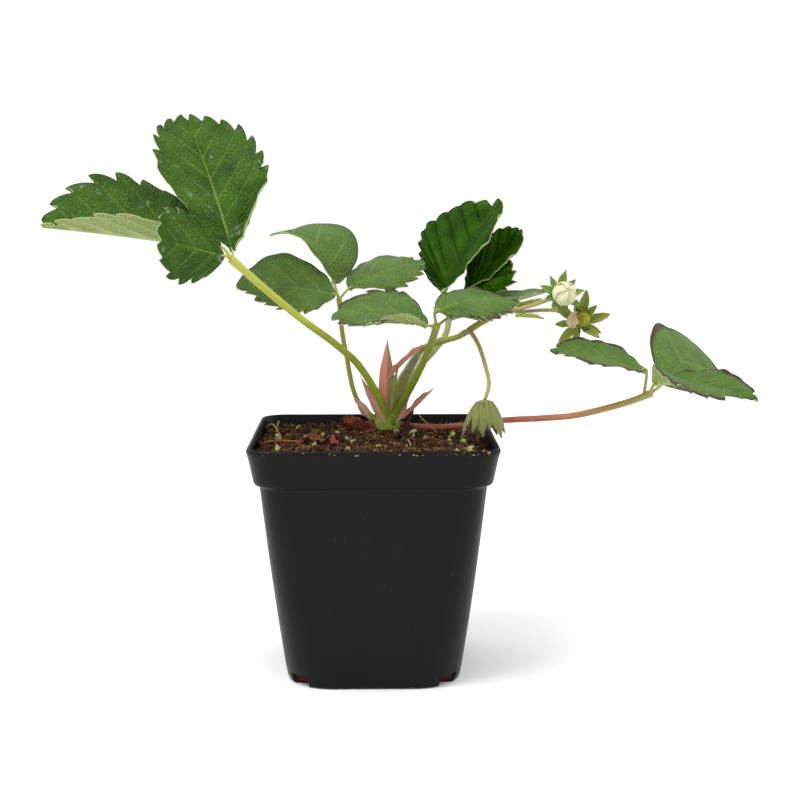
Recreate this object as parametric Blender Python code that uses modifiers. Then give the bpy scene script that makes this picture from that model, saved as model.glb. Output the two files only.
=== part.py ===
"""Young strawberry plant in a square plastic nursery pot.

The pot stands on the XY plane, centred on the origin, with one side facing -Y.
The crown sits in the potting mix a little behind the middle, and five leaves,
a flower truss and loose papery stipules grow out of it. Lengths are written in
millimetres and turned to metres by MM.
"""
import math

import bmesh
import bpy
from mathutils import Matrix, Vector

MM = 0.001
GAP = 0.3                       # clear space between neighbouring pieces

# Pot: outside sizes of the 3.5 inch square nursery pot
POT_HEIGHT = 88.6
RIM_WIDTH = 89.0
RIM_CORNER = 9.0
BAND_WIDTH = 84.6               # the rim band just above its step
BAND_Z = 76.0
BODY_TOP_WIDTH = 80.6           # the tapered body just under the step
BODY_TOP_Z = 74.4
BASE_WIDTH = 63.6
BASE_CORNER = 17.0
WALL = 0.9
FOOT_RADIUS = 1.2               # rounding between the body and its floor
CORNER_STEPS = 5                # segments in each rounded corner
SLOT_HEIGHT = 4.0               # drainage slots wrap the four bottom corners
SLOT_START = 23.5               # from the middle of a side to the slot
SLOT_OVERCUT = 6.0              # how far a slot's cutter stands outside the corner

# Potting mix
SOIL_TOP = 86.0
SOIL_EDGE_DROP = 0.6
SOIL_FLAT_SHARE = 0.86
SOIL_CLEARANCE = 0.4            # how much narrower the mix is than the pot's inside, beside GAP
SOIL_FOOT_INSET = 3.0           # rounding where the mix meets the pot's floor

# Crown, the short woody stem that every stalk grows from
CROWN = (5.0, 16.0)
CROWN_PROFILE = ((4.0, 91.5), (4.7, 90.6), (4.9, 88.8), (4.2, 87.2), (3.6, SOIL_TOP + GAP))

# Leaf blades
LEAF_THICKNESS = 0.5
BLADE_STATIONS = 12             # grid steps from the base of a blade to its tip
BLADE_RIBS = 2                  # grid steps from the midrib to each margin
TOOTH_DEPTH = 0.09              # share of the half width cut away between teeth
FIRST_TOOTH = 0.34              # share of the blade's length with an entire margin
VEIN_SWEEP = 0.9                # how far side veins run forward, per half width
START, END = 0.05, 0.985        # stations of the stalk end and of the tip tooth

STEM_STEPS = 3                  # curve points between two route points
SEPAL_THICKNESS = 0.4


def clear_scene():
    for old in list(bpy.data.objects):
        bpy.data.objects.remove(old, do_unlink=True)


def collection(name):
    group = bpy.data.collections.new(name)
    bpy.context.scene.collection.children.link(group)
    return group


def material(name, colour, roughness):
    made = bpy.data.materials.new(name)
    made.use_nodes = True
    shader = made.node_tree.nodes["Principled BSDF"]
    shader.inputs["Base Color"].default_value = (*colour, 1.0)
    shader.inputs["Roughness"].default_value = roughness
    shader.inputs["Metallic"].default_value = 0.0
    return made


def add_object(name, data, colour, roughness=0.6):
    made = bpy.data.objects.new(name, data)
    data.materials.append(material(name, colour, roughness))
    PLANT.objects.link(made)
    return made


def mesh_object(name, bm, colour, roughness=0.6):
    bmesh.ops.recalc_face_normals(bm, faces=bm.faces)
    mesh = bpy.data.meshes.new(name)
    bm.to_mesh(mesh)
    bm.free()
    mesh.shade_smooth()
    return add_object(name, mesh, colour, roughness)


def solidify(thing, thickness, offset=0.0, even=False):
    shell = thing.modifiers.new("thickness", "SOLIDIFY")
    shell.thickness = thickness * MM
    shell.offset = offset
    shell.use_even_offset = even


# ---------------------------------------------------------------- pot and mix

def rounded_square(width, corner, z):
    """Points of a square with round corners, anticlockwise seen from above."""
    reach = width / 2 - corner
    points = []
    for quarter in range(4):
        middle = math.radians(45 + 90 * quarter)
        centre = Vector((reach * math.copysign(1, math.cos(middle)),
                         reach * math.copysign(1, math.sin(middle)), z))
        for step in range(CORNER_STEPS + 1):
            turn = math.radians(90 * quarter + 90 * step / CORNER_STEPS)
            points.append((centre + corner * Vector((math.cos(turn), math.sin(turn), 0))) * MM)
    return points


def body_width(z):
    """Outside width of the tapered body, with its slight outward belly."""
    share = z / BODY_TOP_Z
    belly = 0.8 * math.sin(math.pi * share)
    return BASE_WIDTH + (BODY_TOP_WIDTH - BASE_WIDTH) * share + belly


def body_corner(z):
    return BASE_CORNER + (RIM_CORNER + 1 - BASE_CORNER) * z / BODY_TOP_Z


def loft(rings, close_bottom=True, close_top=False):
    """Join rings of points into a wall, bottom ring first."""
    bm = bmesh.new()
    loops = [[bm.verts.new(point) for point in ring] for ring in rings]
    for low, high in zip(loops, loops[1:]):
        for i in range(len(low)):
            j = (i + 1) % len(low)
            bm.faces.new((low[i], low[j], high[j], high[i]))
    if close_bottom:
        bm.faces.new(list(reversed(loops[0])))
    if close_top:
        bm.faces.new(loops[-1])
    return bm


def build_pot():
    rings = [rounded_square(BASE_WIDTH - 2 * FOOT_RADIUS, BASE_CORNER - FOOT_RADIUS, 0)]
    for z in (FOOT_RADIUS, 19, 37, 56, BODY_TOP_Z):
        rings.append(rounded_square(body_width(z), body_corner(z), z))
    rings.append(rounded_square(BAND_WIDTH, RIM_CORNER + 1, BAND_Z))
    rings.append(rounded_square(RIM_WIDTH, RIM_CORNER, POT_HEIGHT))
    pot = mesh_object("pot", loft(rings), (0.018, 0.018, 0.02), 0.45)
    solidify(pot, WALL, -1.0, even=True)
    for quarter in range(4):
        bpy.ops.mesh.primitive_cube_add(size=1)
        cutter = bpy.context.object
        cutter.name = f"slot_cutter_{quarter + 1}"
        reach = BASE_WIDTH / 2 - SLOT_START + SLOT_OVERCUT
        side = SLOT_START + reach / 2
        turn = math.radians(45 + 90 * quarter)
        cutter.location = Vector((math.copysign(side, math.cos(turn)),
                                  math.copysign(side, math.sin(turn)), SLOT_HEIGHT / 2 - 1)) * MM
        cutter.scale = Vector((reach, reach, SLOT_HEIGHT + 2)) * MM
        cutter.hide_render = True
        cutter.display_type = "WIRE"
        for group in list(cutter.users_collection):
            group.objects.unlink(cutter)
        CUTTERS.objects.link(cutter)
        cut = pot.modifiers.new(f"slot_{quarter + 1}", "BOOLEAN")
        cut.operation = "DIFFERENCE"
        cut.object = cutter


def build_soil():
    wall_and_gap = WALL + GAP
    inset = 2 * wall_and_gap + SOIL_CLEARANCE
    rings = []
    foot_width = BASE_WIDTH - 2 * wall_and_gap - SOIL_FOOT_INSET
    rings.append(rounded_square(foot_width, BASE_CORNER - SOIL_FOOT_INSET, wall_and_gap))
    for z in (FOOT_RADIUS + 1.5, 19, 37, 56, BODY_TOP_Z - 1):
        rings.append(rounded_square(body_width(z) - inset, body_corner(z) - wall_and_gap, z))
    edge = SOIL_TOP - SOIL_EDGE_DROP
    rim_share = (edge - BAND_Z) / (POT_HEIGHT - BAND_Z)
    edge_width = BAND_WIDTH + (RIM_WIDTH - BAND_WIDTH) * rim_share - inset
    above_step = BAND_Z + WALL
    step_corner = RIM_CORNER - SOIL_CLEARANCE
    rings.append(rounded_square(BODY_TOP_WIDTH - inset, step_corner, above_step + GAP))
    rings.append(rounded_square(BAND_WIDTH - inset, step_corner, above_step + 1.5))
    rings.append(rounded_square(edge_width, RIM_CORNER - wall_and_gap, edge))
    rings.append(rounded_square(edge_width * SOIL_FLAT_SHARE, RIM_CORNER - 2, SOIL_TOP))
    mesh_object("soil", loft(rings, True, True), (0.06, 0.035, 0.02), 0.95)


def build_crown():
    bm = bmesh.new()
    outline = [(0.0, CROWN_PROFILE[0][1]), *CROWN_PROFILE, (0.0, CROWN_PROFILE[-1][1])]
    for radius, z in outline:
        bm.verts.new((radius * MM, 0, z * MM))
    bm.verts.ensure_lookup_table()
    for i in range(len(outline) - 1):
        bm.edges.new((bm.verts[i], bm.verts[i + 1]))
    mesh = bpy.data.meshes.new("crown")
    bm.to_mesh(mesh)
    bm.free()
    crown = add_object("crown", mesh, (0.22, 0.33, 0.04))
    crown.location = Vector((*CROWN, 0)) * MM
    turn = crown.modifiers.new("turn", "SCREW")
    turn.steps = turn.render_steps = 20
    turn.use_merge_vertices = True
    turn.merge_threshold = 0.00001
    turn.use_smooth_shade = True


# --------------------------------------------------------------------- stalks

def smooth_route(points, steps):
    """A Catmull-Rom curve through hand-placed points."""
    route = [Vector(point) for point in points]
    ends = [2 * route[0] - route[1], *route, 2 * route[-1] - route[-2]]
    smooth = []
    for a, b, c, d in zip(ends, ends[1:], ends[2:], ends[3:]):
        for step in range(steps):
            t = step / steps
            smooth.append(0.5 * (2 * b + (c - a) * t + (2 * a - 5 * b + 4 * c - d) * t * t
                                 + (3 * b - a - 3 * c + d) * t ** 3))
    smooth.append(route[-1])
    return smooth


def stem(name, points, low, high, colour):
    """A round stalk along its route, tapering from radius low to radius high."""
    route = smooth_route(points, STEM_STEPS)
    curve = bpy.data.curves.new(name, "CURVE")
    curve.dimensions = "3D"
    curve.bevel_depth = MM
    curve.bevel_resolution = 2
    curve.use_fill_caps = True
    spline = curve.splines.new("POLY")
    spline.points.add(len(route) - 1)
    for i, (slot, place) in enumerate(zip(spline.points, route)):
        slot.co = (*(place * MM), 1.0)
        slot.radius = low + (high - low) * i / (len(route) - 1)
    add_object(name, curve, colour)


# each route in mm, then the radius at its foot and at its top
PETIOLES = {
    "leaf1_petiole": (((2.4, 14.2, 92.2), (2.3, 13.9, 94), (3, 12, 102), (-2, 9, 108),
                       (-9, 6, 115), (-27, -3, 131), (-39, -9, 143), (-49, -13.5, 152.6)), 1.4, 1.3),
    "leaf2_petiole": (((2.6, 18, 92.4), (2.3, 18.3, 94), (-7, 20, 101.5), (-9, 21, 111),
                       (-12, 22, 125), (-13, 22, 136.6)), 1.0, 0.9),
    "leaf3_petiole": (((7, 13.6, 92.2), (7.4, 13.3, 93.6), (12, 10, 99.5), (18, 6, 111),
                       (22, -2, 124), (23, -6.5, 128.6)), 1.4, 1.3),
    "leaf4_petiole": (((5.4, 19.2, 92.2), (5.8, 19.5, 93.8), (14, 21.5, 100.5), (22, 22, 111),
                       (27, 23, 123), (30.5, 22.5, 137)), 1.0, 0.9),
    "leaf5_petiole": (((11, 19.5, 88.6), (22, 15, 88.4), (35, 10, 90), (48, 5, 92), (62, -3, 94),
                       (73, -10, 96), (82, -16, 99), (91, -24, 103), (97.5, -29.5, 106.6)), 1.1, 1.1),
}
TRUSS = {
    "peduncle": (((8.3, 17, 92), (8.4, 17.2, 93.5), (9.2, 17.5, 98), (15, 15.5, 112), (21, 12, 119),
                  (26, 8, 122.5), (32, 5, 125), (42, 0, 130.6), (50.6, -5.6, 134.4)), 1.3, 0.9),
    "pedicel_hanging": (((32.6, 3, 127), (36, 0, 126), (39, -4, 121.5), (41, -8, 114),
                         (42, -12, 108), (40, -15, 103.2)), 0.7, 0.7),
    "pedicel_bud": (((51.8, -7.8, 134.6), (58, -12, 136.8), (64.2, -15.4, 139.4)), 0.6, 0.6),
    "pedicel_spent": (((52.6, -5.2, 133.6), (62, -7, 134.4), (67, -7.4, 134.2),
                       (72.6, -8.2, 132.2)), 0.6, 0.6),
}
DRY_STALKS = {
    "dry_stem": (((-38, -12, 87.0), (-32, -13, 87.3), (-26, -12.5, 87.1)), 0.55, 0.45),
    "dry_stalk_stub": (((11.8, 13.2, 87.6), (13.4, 14.2, 91), (14.8, 15.2, 94.6)), 1.0, 0.7),
}


def build_stalks():
    for name, (points, low, high) in PETIOLES.items():
        reddish = name == "leaf5_petiole"
        stem(name, points, low, high, (0.35, 0.12, 0.06) if reddish else (0.28, 0.36, 0.05))
    for name, (points, low, high) in TRUSS.items():
        stem(name, points, low, high, (0.26, 0.30, 0.08))
    for name, (points, low, high) in DRY_STALKS.items():
        stem(name, points, low, high, (0.15, 0.05, 0.03))


# --------------------------------------------------------------------- blades

def blade_frame(heading, rise, roll):
    """Axes of a blade: along its midrib, to its left, and out of its upper face."""
    turn = Matrix.Rotation(math.radians(heading), 3, "Z")
    lift = Matrix.Rotation(-math.radians(rise), 3, "Y")
    tilt = Matrix.Rotation(math.radians(roll), 3, "X")
    axes = turn @ lift @ tilt
    return axes.col[0], axes.col[1], axes.col[2]


def half_width(station, peak, root=0.9):
    """Outline of an obovate blade: 0 at both ends and 1 at the peak station."""
    tip = root * (1 - peak) / peak
    shape = station ** root * (1 - station) ** tip
    return shape / (peak ** root * (1 - peak) ** tip)


def arc(share, bend):
    """Distance along and across after going a share of an arc that turns by bend."""
    if abs(bend) < 0.001:
        return share, 0.0
    return math.sin(bend * share) / bend, (1 - math.cos(bend * share)) / bend


def blade_point(spec, station, side):
    """Point of a blade. station runs base to tip along the margin, side is -1 to 1."""
    along, left, face = blade_frame(spec["heading"], spec["rise"], spec["roll"])
    length = spec["length"]
    wing = spec["left"] if side >= 0 else spec["right"]
    fold = math.radians(spec["fold_left"] if side >= 0 else spec["fold_right"])
    reach = half_width(station, spec["peak"])
    origin = station - VEIN_SWEEP * reach * wing / length * min(1, 2 * station)
    at = max(0.0, origin) + (station - max(0.0, origin)) * abs(side)
    droop = math.radians(spec["arch"])
    forward, down = arc(at, droop)
    out = reach * abs(side)
    cup = math.radians(spec["cup"])
    if abs(cup) < 0.001:
        across, up = out * math.cos(fold), out * math.sin(fold)
    else:
        across = (math.sin(fold + cup * out) - math.sin(fold)) / cup
        up = (math.cos(fold) - math.cos(fold + cup * out)) / cup
    sway = length * math.radians(spec["bend"]) * at * at / 2
    x = length * forward + wing * up * math.sin(droop * at)
    y = sway + math.copysign(wing * across, side)
    z = -length * down + wing * up * math.cos(droop * at)
    return Vector(spec["base"]) + x * along + y * left + z * face


def blade(name, row, colour, toothed=True, stations=BLADE_STATIONS, ribs=BLADE_RIBS):
    """A flat grid bent into a leaf blade, with a toothed margin past its entire base."""
    spec = dict(zip(FIELDS, row))
    bm = bmesh.new()
    bmesh.ops.create_grid(bm, x_segments=stations, y_segments=2 * ribs, size=1)
    for vert in bm.verts:
        share = (vert.co.x + 1) / 2
        station = START + (END - START) * share
        side = vert.co.y
        step = round(share * stations)
        if toothed and abs(side) > 0.99 and station > FIRST_TOOTH and step % 2:
            side *= 1 - TOOTH_DEPTH
        vert.co = blade_point(spec, station, side) * MM
    bmesh.ops.triangulate(bm, faces=bm.faces, quad_method="SHORT_EDGE")
    made = mesh_object(name, bm, colour)
    solidify(made, LEAF_THICKNESS)


FIELDS = ("base", "heading", "rise", "roll", "length", "left", "right",
          "fold_left", "fold_right", "arch", "bend", "cup", "peak")

# base point in mm; heading, rise and roll of the midrib in degrees; length and the two
# half widths in mm; upward fold of each half; droop; sideways bend; cupping; widest station
LEAFLETS = {
    "leaf1_leaflet_left": ((-50, -12.4, 155.4), 140, 69, -10, 57, 20, 23, 6, 22, 23, -10, -5, 0.62),
    "leaf1_leaflet_middle": ((-53, -15.6, 157.0), 186, 9, -6, 64, 15, 27, 33, 43, 4, 0, 0, 0.54),
    "leaf1_leaflet_right": ((-51.4, -19.4, 153.6), 218, 16, -62, 34, 15, 15, -4, 2, -4, 0, 0, 0.68),
    "leaf2_leaflet_middle": ((-14.6, 25, 141.5), 140, 84, 6, 41.5, 6, 22, 0, 4, 106, 4, 0, 0.50),
    "leaf2_leaflet_left": ((-15, 18, 138.6), 183, 13, -15, 37, 17, 20, -12, 21, 20, 0, 0, 0.50),
    "leaf2_leaflet_right": ((-9.6, 24, 140.2), 22, 34, 3, 34, 18.6, 16, 14, -11, 34, -1, 0, 0.54),
    "leaf3_leaflet_left": ((20, -10, 129), 170, 22, -10, 37, 17, 20, -2, 15, 36, 2, 0, 0.56),
    "leaf3_leaflet_middle": ((24.6, -12.6, 131), 24, 34, -5, 36, 15.5, 16, 20, -10, 46, 0, 0, 0.52),
    "leaf3_leaflet_right": ((28.0, 2.6, 129.4), 24, 12, 0, 46, 13, 11.5, 8, 12, 0, -2, 0, 0.54),
    "leaf4_leaflet_left": ((27, 22.6, 138.8), 50, 46, 0, 48, 24, 13, -5, 28, 0, -6, 0, 0.66),
    "leaf4_leaflet_middle": ((35, 27, 139.8), 35, 36, 32, 37, 9, 12, 40, 40, -6, 5, 0, 0.56),
    "leaf4_leaflet_right": ((38.4, 25.4, 138.2), -3, 32, 24, 22, 10, 13, 8, 0, 0, 2, 0, 0.54),
    "leaf5_leaflet_left": ((96, -31, 114.8), 175, 20, -8, 34, 13, 13, 2, 14, 16, 2, 0, 0.54),
    "leaf5_leaflet_middle": ((100, -34, 109), -56, 12, 13, 44, 9, 15, 14, 10, 30, 5, 0, 0.50),
    "leaf5_leaflet_right": ((102, -29, 110), 49, 25, 40, 43, 16, 19, 2, -3, 32, 12, 0, 0.56),
}
STIPULES = {
    "stipule_upright": ((5.0, 16.6, 92.4), -100, 86, 0, 30, 3.0, 2.2, 14, 10, -4, 3, 0, 0.55),
    "stipule_leaning": ((7.4, 12.6, 106.2), -8, 47, 0, 16, 1.8, 1.8, 30, 30, 10, 0, 0, 0.45),
    "stipule_spike": ((6.8, 11.0, 97.0), -30, 78, 0, 14.5, 1.1, 1.1, 30, 30, -6, 0, 0, 0.40),
    "stipule_right": ((11.4, 12.4, 93.4), 0, 40, 0, 15, 2.6, 2.0, 20, 15, -6, 0, 0, 0.50),
    "bract_upper": ((53.6, -6.0, 135.2), -20, 16, 0, 9.5, 2.0, 2.0, 20, 20, 30, 0, 0, 0.45),
    "bract_lower": ((53.6, -8.8, 133.4), -20, -4, 0, 9.0, 1.4, 1.4, 20, 20, 0, 0, 0, 0.40),
}
SCRAPS = {
    "dry_scrap_crown": ((0.6, 9.6, 88.2), 150, 8, 12, 14, 5, 5, 25, 10, 10, 10, 0, 0.5),
    "dry_scrap_soil": ((-12.5, -16, 87.2), 155, 2, 0, 15, 4, 4, 12, 6, 0, 10, 0, 0.5),
    "dry_scrap_left": ((-4.5, 21.5, 88.2), 175, 12, -10, 9, 3, 3, 20, 20, 10, 0, 0, 0.5),
}


def build_blades():
    for name, row in LEAFLETS.items():
        blade(name, row, (0.05, 0.16, 0.03))
    for name, row in STIPULES.items():
        tint = (0.25, 0.28, 0.06) if name.startswith("bract") else (0.5, 0.2, 0.15)
        blade(name, row, tint, False, 8, 1)
    for name, row in SCRAPS.items():
        blade(name, row, (0.3, 0.07, 0.02), False, 6, 1)


# --------------------------------------------------------- flowers and fruit

def point_along(thing, place, axis):
    """Put an object at place with its local Z along axis."""
    turn = Vector(axis).to_track_quat("Z", "Y").to_matrix().to_4x4()
    thing.matrix_world = Matrix.Translation(Vector(place) * MM) @ turn


def ball(name, place, axis, radii, colour):
    """A rounded body with its own three radii, for fruit, petals and receptacles."""
    bm = bmesh.new()
    bmesh.ops.create_uvsphere(bm, u_segments=10, v_segments=6, radius=1)
    bmesh.ops.scale(bm, vec=Vector(radii) * MM, verts=bm.verts)
    point_along(mesh_object(name, bm, colour), place, axis)


def calyx(name, place, axis, sepals, hub, notch, tip, spread, curl, colour):
    """A ring of joined sepals. spread is the opening angle at the hub, curl the change to the tip."""
    around, rows = 4 * sepals, 2
    bm = bmesh.new()
    rings = []
    for row in range(rows + 1):
        ring = []
        for i in range(around):
            phase = (i % 4) / 4
            pointed = 1 - abs(2 * phase - 1)
            length = notch + (tip - notch) * pointed ** 1.3
            share = row / rows
            travel = length * share
            angle = math.radians(spread + curl * share / 2)
            radius = hub + travel * math.sin(angle)
            turn = 2 * math.pi * i / around
            ring.append(bm.verts.new(Vector((radius * math.cos(turn), radius * math.sin(turn),
                                             travel * math.cos(angle))) * MM))
        rings.append(ring)
    for low, high in zip(rings, rings[1:]):
        for i in range(around):
            j = (i + 1) % around
            bm.faces.new((low[i], low[j], high[j], high[i]))
    bm.faces.new(list(reversed(rings[0])))
    made = mesh_object(name, bm, colour)
    solidify(made, SEPAL_THICKNESS)
    point_along(made, place, axis)


BUD_AXIS = (0.62, -0.6, 0.5)
SPENT_AXIS = (0.25, -0.9, 0.3)
FRUIT_AXIS = (0.04, -0.12, -1)
SPENT_PETAL = ((72.4, -14.6, 133.4), -100, 35, 0, 5.0, 1.8, 1.8, 10, 10, 0, 0, 0, 0.55)


def build_flowers():
    calyx("bud_calyx", (66.2, -16.8, 140.6), BUD_AXIS, 8, 1.4, 3.0, 6.6, 62, -40, (0.12, 0.26, 0.04))
    ball("bud_petals", (69.0, -19.5, 142.8), BUD_AXIS, (4.0, 4.0, 3.1), (0.85, 0.86, 0.7))
    calyx("spent_calyx", (75.4, -10.0, 131.4), SPENT_AXIS, 9, 1.6, 4.5, 10.0, 82, -12, (0.25, 0.33, 0.04))
    ball("spent_receptacle", (76.0, -12.8, 132.2), SPENT_AXIS, (2.4, 2.4, 1.6), (0.4, 0.4, 0.06))
    blade("spent_petal", SPENT_PETAL, (0.5, 0.38, 0.2), False, 6, 1)
    calyx("hanging_calyx", (40.0, -15.2, 102.0), FRUIT_AXIS, 7, 1.2, 7.5, 13.6, 32, 8, (0.22, 0.32, 0.12))
    ball("young_fruit", (40.3, -16.3, 96.2), FRUIT_AXIS, (3.0, 3.0, 4.0), (0.1, 0.08, 0.03))


# ------------------------------------------------------------------- granules

# centre on the mix in mm, and half length; each pale granule is a small angular stone
GRANULES = (((-39, -5), 1.6), ((-35.5, 2), 1.5), ((-26, 6), 1.2), ((-34, -22), 1.5), ((-9, -24), 1.2),
            ((-10, -6), 1.3), ((15, 4), 1.6), ((30, 2), 1.7), ((33, -6), 1.3), ((34.5, -24), 1.5))
GRANULE_FLATNESS = (1.0, 0.8, 0.7)


def build_granules():
    for number, ((x, y), size) in enumerate(GRANULES, start=1):
        bm = bmesh.new()
        bmesh.ops.create_icosphere(bm, subdivisions=1, radius=size * MM)
        bmesh.ops.scale(bm, vec=GRANULE_FLATNESS, verts=bm.verts)
        made = mesh_object(f"granule_{number}", bm, (0.45, 0.45, 0.2), 0.8)
        made.rotation_euler = (0, 0, number * 1.1)
        made.location = Vector((x, y, SOIL_TOP + GAP + GRANULE_FLATNESS[2] * size)) * MM


clear_scene()
PLANT = collection("potted_strawberry_plant")
CUTTERS = collection("cutters")
build_pot()
build_soil()
build_crown()
build_stalks()
build_blades()
build_flowers()
build_granules()
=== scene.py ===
import math

import bmesh
import bpy
import numpy as np
from mathutils import Matrix, Vector, noise


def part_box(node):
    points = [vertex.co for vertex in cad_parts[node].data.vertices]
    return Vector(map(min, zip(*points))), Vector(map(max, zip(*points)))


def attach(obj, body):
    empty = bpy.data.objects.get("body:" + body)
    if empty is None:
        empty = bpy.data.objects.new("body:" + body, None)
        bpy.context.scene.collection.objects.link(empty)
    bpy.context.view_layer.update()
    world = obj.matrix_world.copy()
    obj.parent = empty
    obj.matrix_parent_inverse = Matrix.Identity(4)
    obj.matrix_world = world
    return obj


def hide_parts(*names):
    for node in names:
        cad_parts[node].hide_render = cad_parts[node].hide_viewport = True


# A young strawberry plant in a square black nursery pot. Lengths are in millimetres
# until a mesh is made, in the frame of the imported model: the pot stands on Z = 0.
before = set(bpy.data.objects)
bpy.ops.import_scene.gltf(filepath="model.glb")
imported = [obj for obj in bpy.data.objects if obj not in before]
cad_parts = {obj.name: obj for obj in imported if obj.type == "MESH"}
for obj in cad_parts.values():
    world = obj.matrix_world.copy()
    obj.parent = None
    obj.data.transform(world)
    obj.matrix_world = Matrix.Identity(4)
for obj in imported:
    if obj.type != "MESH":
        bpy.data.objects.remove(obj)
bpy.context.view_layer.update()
MM = 0.001


# ---------------------------------------------------------------------------- Pot
# A 3.5 inch nursery pot, injection moulded in black polypropylene: a tapered body with
# a slight belly, a stepped band under a rolled lip, and a drainage slot at each corner.
class Form:
    """Points in mm, faces and finishes of one piece, gathered before it becomes a mesh.
    Each point carries three marks that its materials read."""

    def __init__(self):
        self.points, self.faces, self.finishes, self.marks, self.count = [], [], [], [], 0

    def add(self, points, faces, finish=0, marks=(0, 0, 0)):
        points = np.asarray(points, float).reshape(-1, 3)
        self.points.append(points)
        self.marks.append(np.broadcast_to(np.asarray(marks, float), points.shape))
        self.faces.extend(tuple(int(i) + self.count for i in face) for face in faces)
        self.finishes.extend([finish] * len(faces))
        self.count += len(points)


def placed(name, data):
    """An object of the scene that holds a mesh, a lamp or a camera."""
    made = bpy.data.objects.new(name, data)
    bpy.context.scene.collection.objects.link(made)
    return made


def piece(name, form, materials, sharp=None):
    """Turn a form into the mesh object that stands for the CAD node of that name."""
    mesh = bpy.data.meshes.new(name + "_mesh")
    mesh.from_pydata((np.concatenate(form.points) * MM).tolist(), [], form.faces)
    for made in materials:
        mesh.materials.append(made)
    mesh.polygons.foreach_set("material_index", form.finishes)
    marks = mesh.attributes.new("marks", "FLOAT_VECTOR", "POINT")
    marks.data.foreach_set("vector", np.concatenate(form.marks).astype(np.float32).ravel())
    mesh.shade_smooth()
    if sharp is not None:
        mesh.set_sharp_from_angle(angle=math.radians(sharp))
    mesh.validate()
    made = placed(name + "_made", mesh)
    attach(made, "root")
    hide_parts(name)
    return made


def rgb(code):
    """An sRGB hex colour as linear values."""
    channels = [int(code[i:i + 2], 16) / 255 for i in (1, 3, 5)]
    linear = [c / 12.92 if c <= 0.04045 else ((c + 0.055) / 1.055) ** 2.4 for c in channels]
    return (*linear, 1.0)


def new_material(name):
    made = bpy.data.materials.new(name)
    made.use_nodes = True
    return made, made.node_tree, made.node_tree.nodes["Principled BSDF"]


def feed(tree, node, inputs):
    """Link or set the inputs of a node, by name or by number."""
    for key, value in inputs.items():
        if isinstance(value, bpy.types.NodeSocket):
            tree.links.new(value, node.inputs[key])
        else:
            node.inputs[key].default_value = value


def add(tree, kind, inputs, output=0, **settings):
    """Add a node with its settings and links, and return one of its outputs."""
    node = tree.nodes.new("ShaderNode" + kind)
    for key, value in settings.items():
        setattr(node, key, value)
    feed(tree, node, inputs)
    return node.outputs[output]


def rounded_square(width, corner, z, steps=12, straight=8):
    """Points of a square with round corners, anticlockwise from above."""
    reach = width / 2 - corner
    ring = []
    for quarter in range(4):
        middle = math.radians(45 + 90 * quarter)
        centre = np.array((math.copysign(reach, math.cos(middle)),
                           math.copysign(reach, math.sin(middle)), z))
        for step in range(steps + 1):
            turn = math.radians(90 * (quarter + step / steps))
            ring.append(centre + corner * np.array((math.cos(turn), math.sin(turn), 0)))
        heading = math.radians(90 * (quarter + 1))
        run = np.array((-math.sin(heading), math.cos(heading), 0)) * 2 * reach
        start = ring[-1]
        ring.extend(start + run * k / straight for k in range(1, straight))
    return np.array(ring)


def loft(rings, cap_start=True, cap_end=True):
    """Points and faces of a wall through rings of equal count."""
    n = len(rings[0])
    faces = []
    for low in range(len(rings) - 1):
        for i in range(n):
            j = (i + 1) % n
            faces.append((low * n + i, low * n + j, (low + 1) * n + j, (low + 1) * n + i))
    if cap_start:
        faces.append(tuple(reversed(range(n))))
    if cap_end:
        faces.append(tuple(range((len(rings) - 1) * n, len(rings) * n)))
    return np.concatenate(rings), faces


pot_low, pot_high = (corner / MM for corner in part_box("pot"))
RIM_WIDTH = pot_high.x - pot_low.x
RIM_Z = pot_high.z
RIM_CORNER = 9.0
BAND_WIDTH = RIM_WIDTH - 4.4            # the band just above its step
BAND_Z = RIM_Z - 12.6
BODY_TOP_WIDTH = RIM_WIDTH - 8.4        # the body just under the step
BODY_TOP_Z = BAND_Z - 1.6
BASE_WIDTH = RIM_WIDTH - 25.4
BASE_CORNER = 17.0
WALL = 0.9
BELLY = 0.8
SLOT_HEIGHT = 4.0
SLOT_START = 23.5


def body_width(z):
    share = z / BODY_TOP_Z
    return BASE_WIDTH + (BODY_TOP_WIDTH - BASE_WIDTH) * share + BELLY * math.sin(math.pi * share)


def body_corner(z):
    return BASE_CORNER + (RIM_CORNER + 1 - BASE_CORNER) * z / BODY_TOP_Z


outside = [(BASE_WIDTH - 2.4, BASE_CORNER - 1.2, 0.0), (BASE_WIDTH - 0.9, BASE_CORNER - 0.4, 0.3),
           (BASE_WIDTH, BASE_CORNER, 1.2)]
outside += [(body_width(z), body_corner(z), z) for z in (5, 12, 20, 28, 37, 46, 55, 64, 70, BODY_TOP_Z - 1)]
outside += [(BODY_TOP_WIDTH + 0.1, RIM_CORNER + 1, BODY_TOP_Z - 0.3),
            (BODY_TOP_WIDTH + 0.9, RIM_CORNER + 1, BODY_TOP_Z + 0.3),
            (BAND_WIDTH - 1.1, RIM_CORNER + 1, BAND_Z - 0.9),
            (BAND_WIDTH - 0.3, RIM_CORNER + 1, BAND_Z - 0.4),
            (BAND_WIDTH + 0.1, RIM_CORNER + 1, BAND_Z + 0.4),
            (BAND_WIDTH + 1.4, RIM_CORNER + 0.6, BAND_Z + 4),
            (BAND_WIDTH + 2.8, RIM_CORNER + 0.4, BAND_Z + 8), (RIM_WIDTH - 0.5, RIM_CORNER, RIM_Z - 2.2),
            (RIM_WIDTH, RIM_CORNER, RIM_Z - 1.5), (RIM_WIDTH - 0.15, RIM_CORNER, RIM_Z - 0.8),
            (RIM_WIDTH - 0.7, RIM_CORNER, RIM_Z - 0.25), (RIM_WIDTH - 1.4, RIM_CORNER, RIM_Z)]
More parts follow.
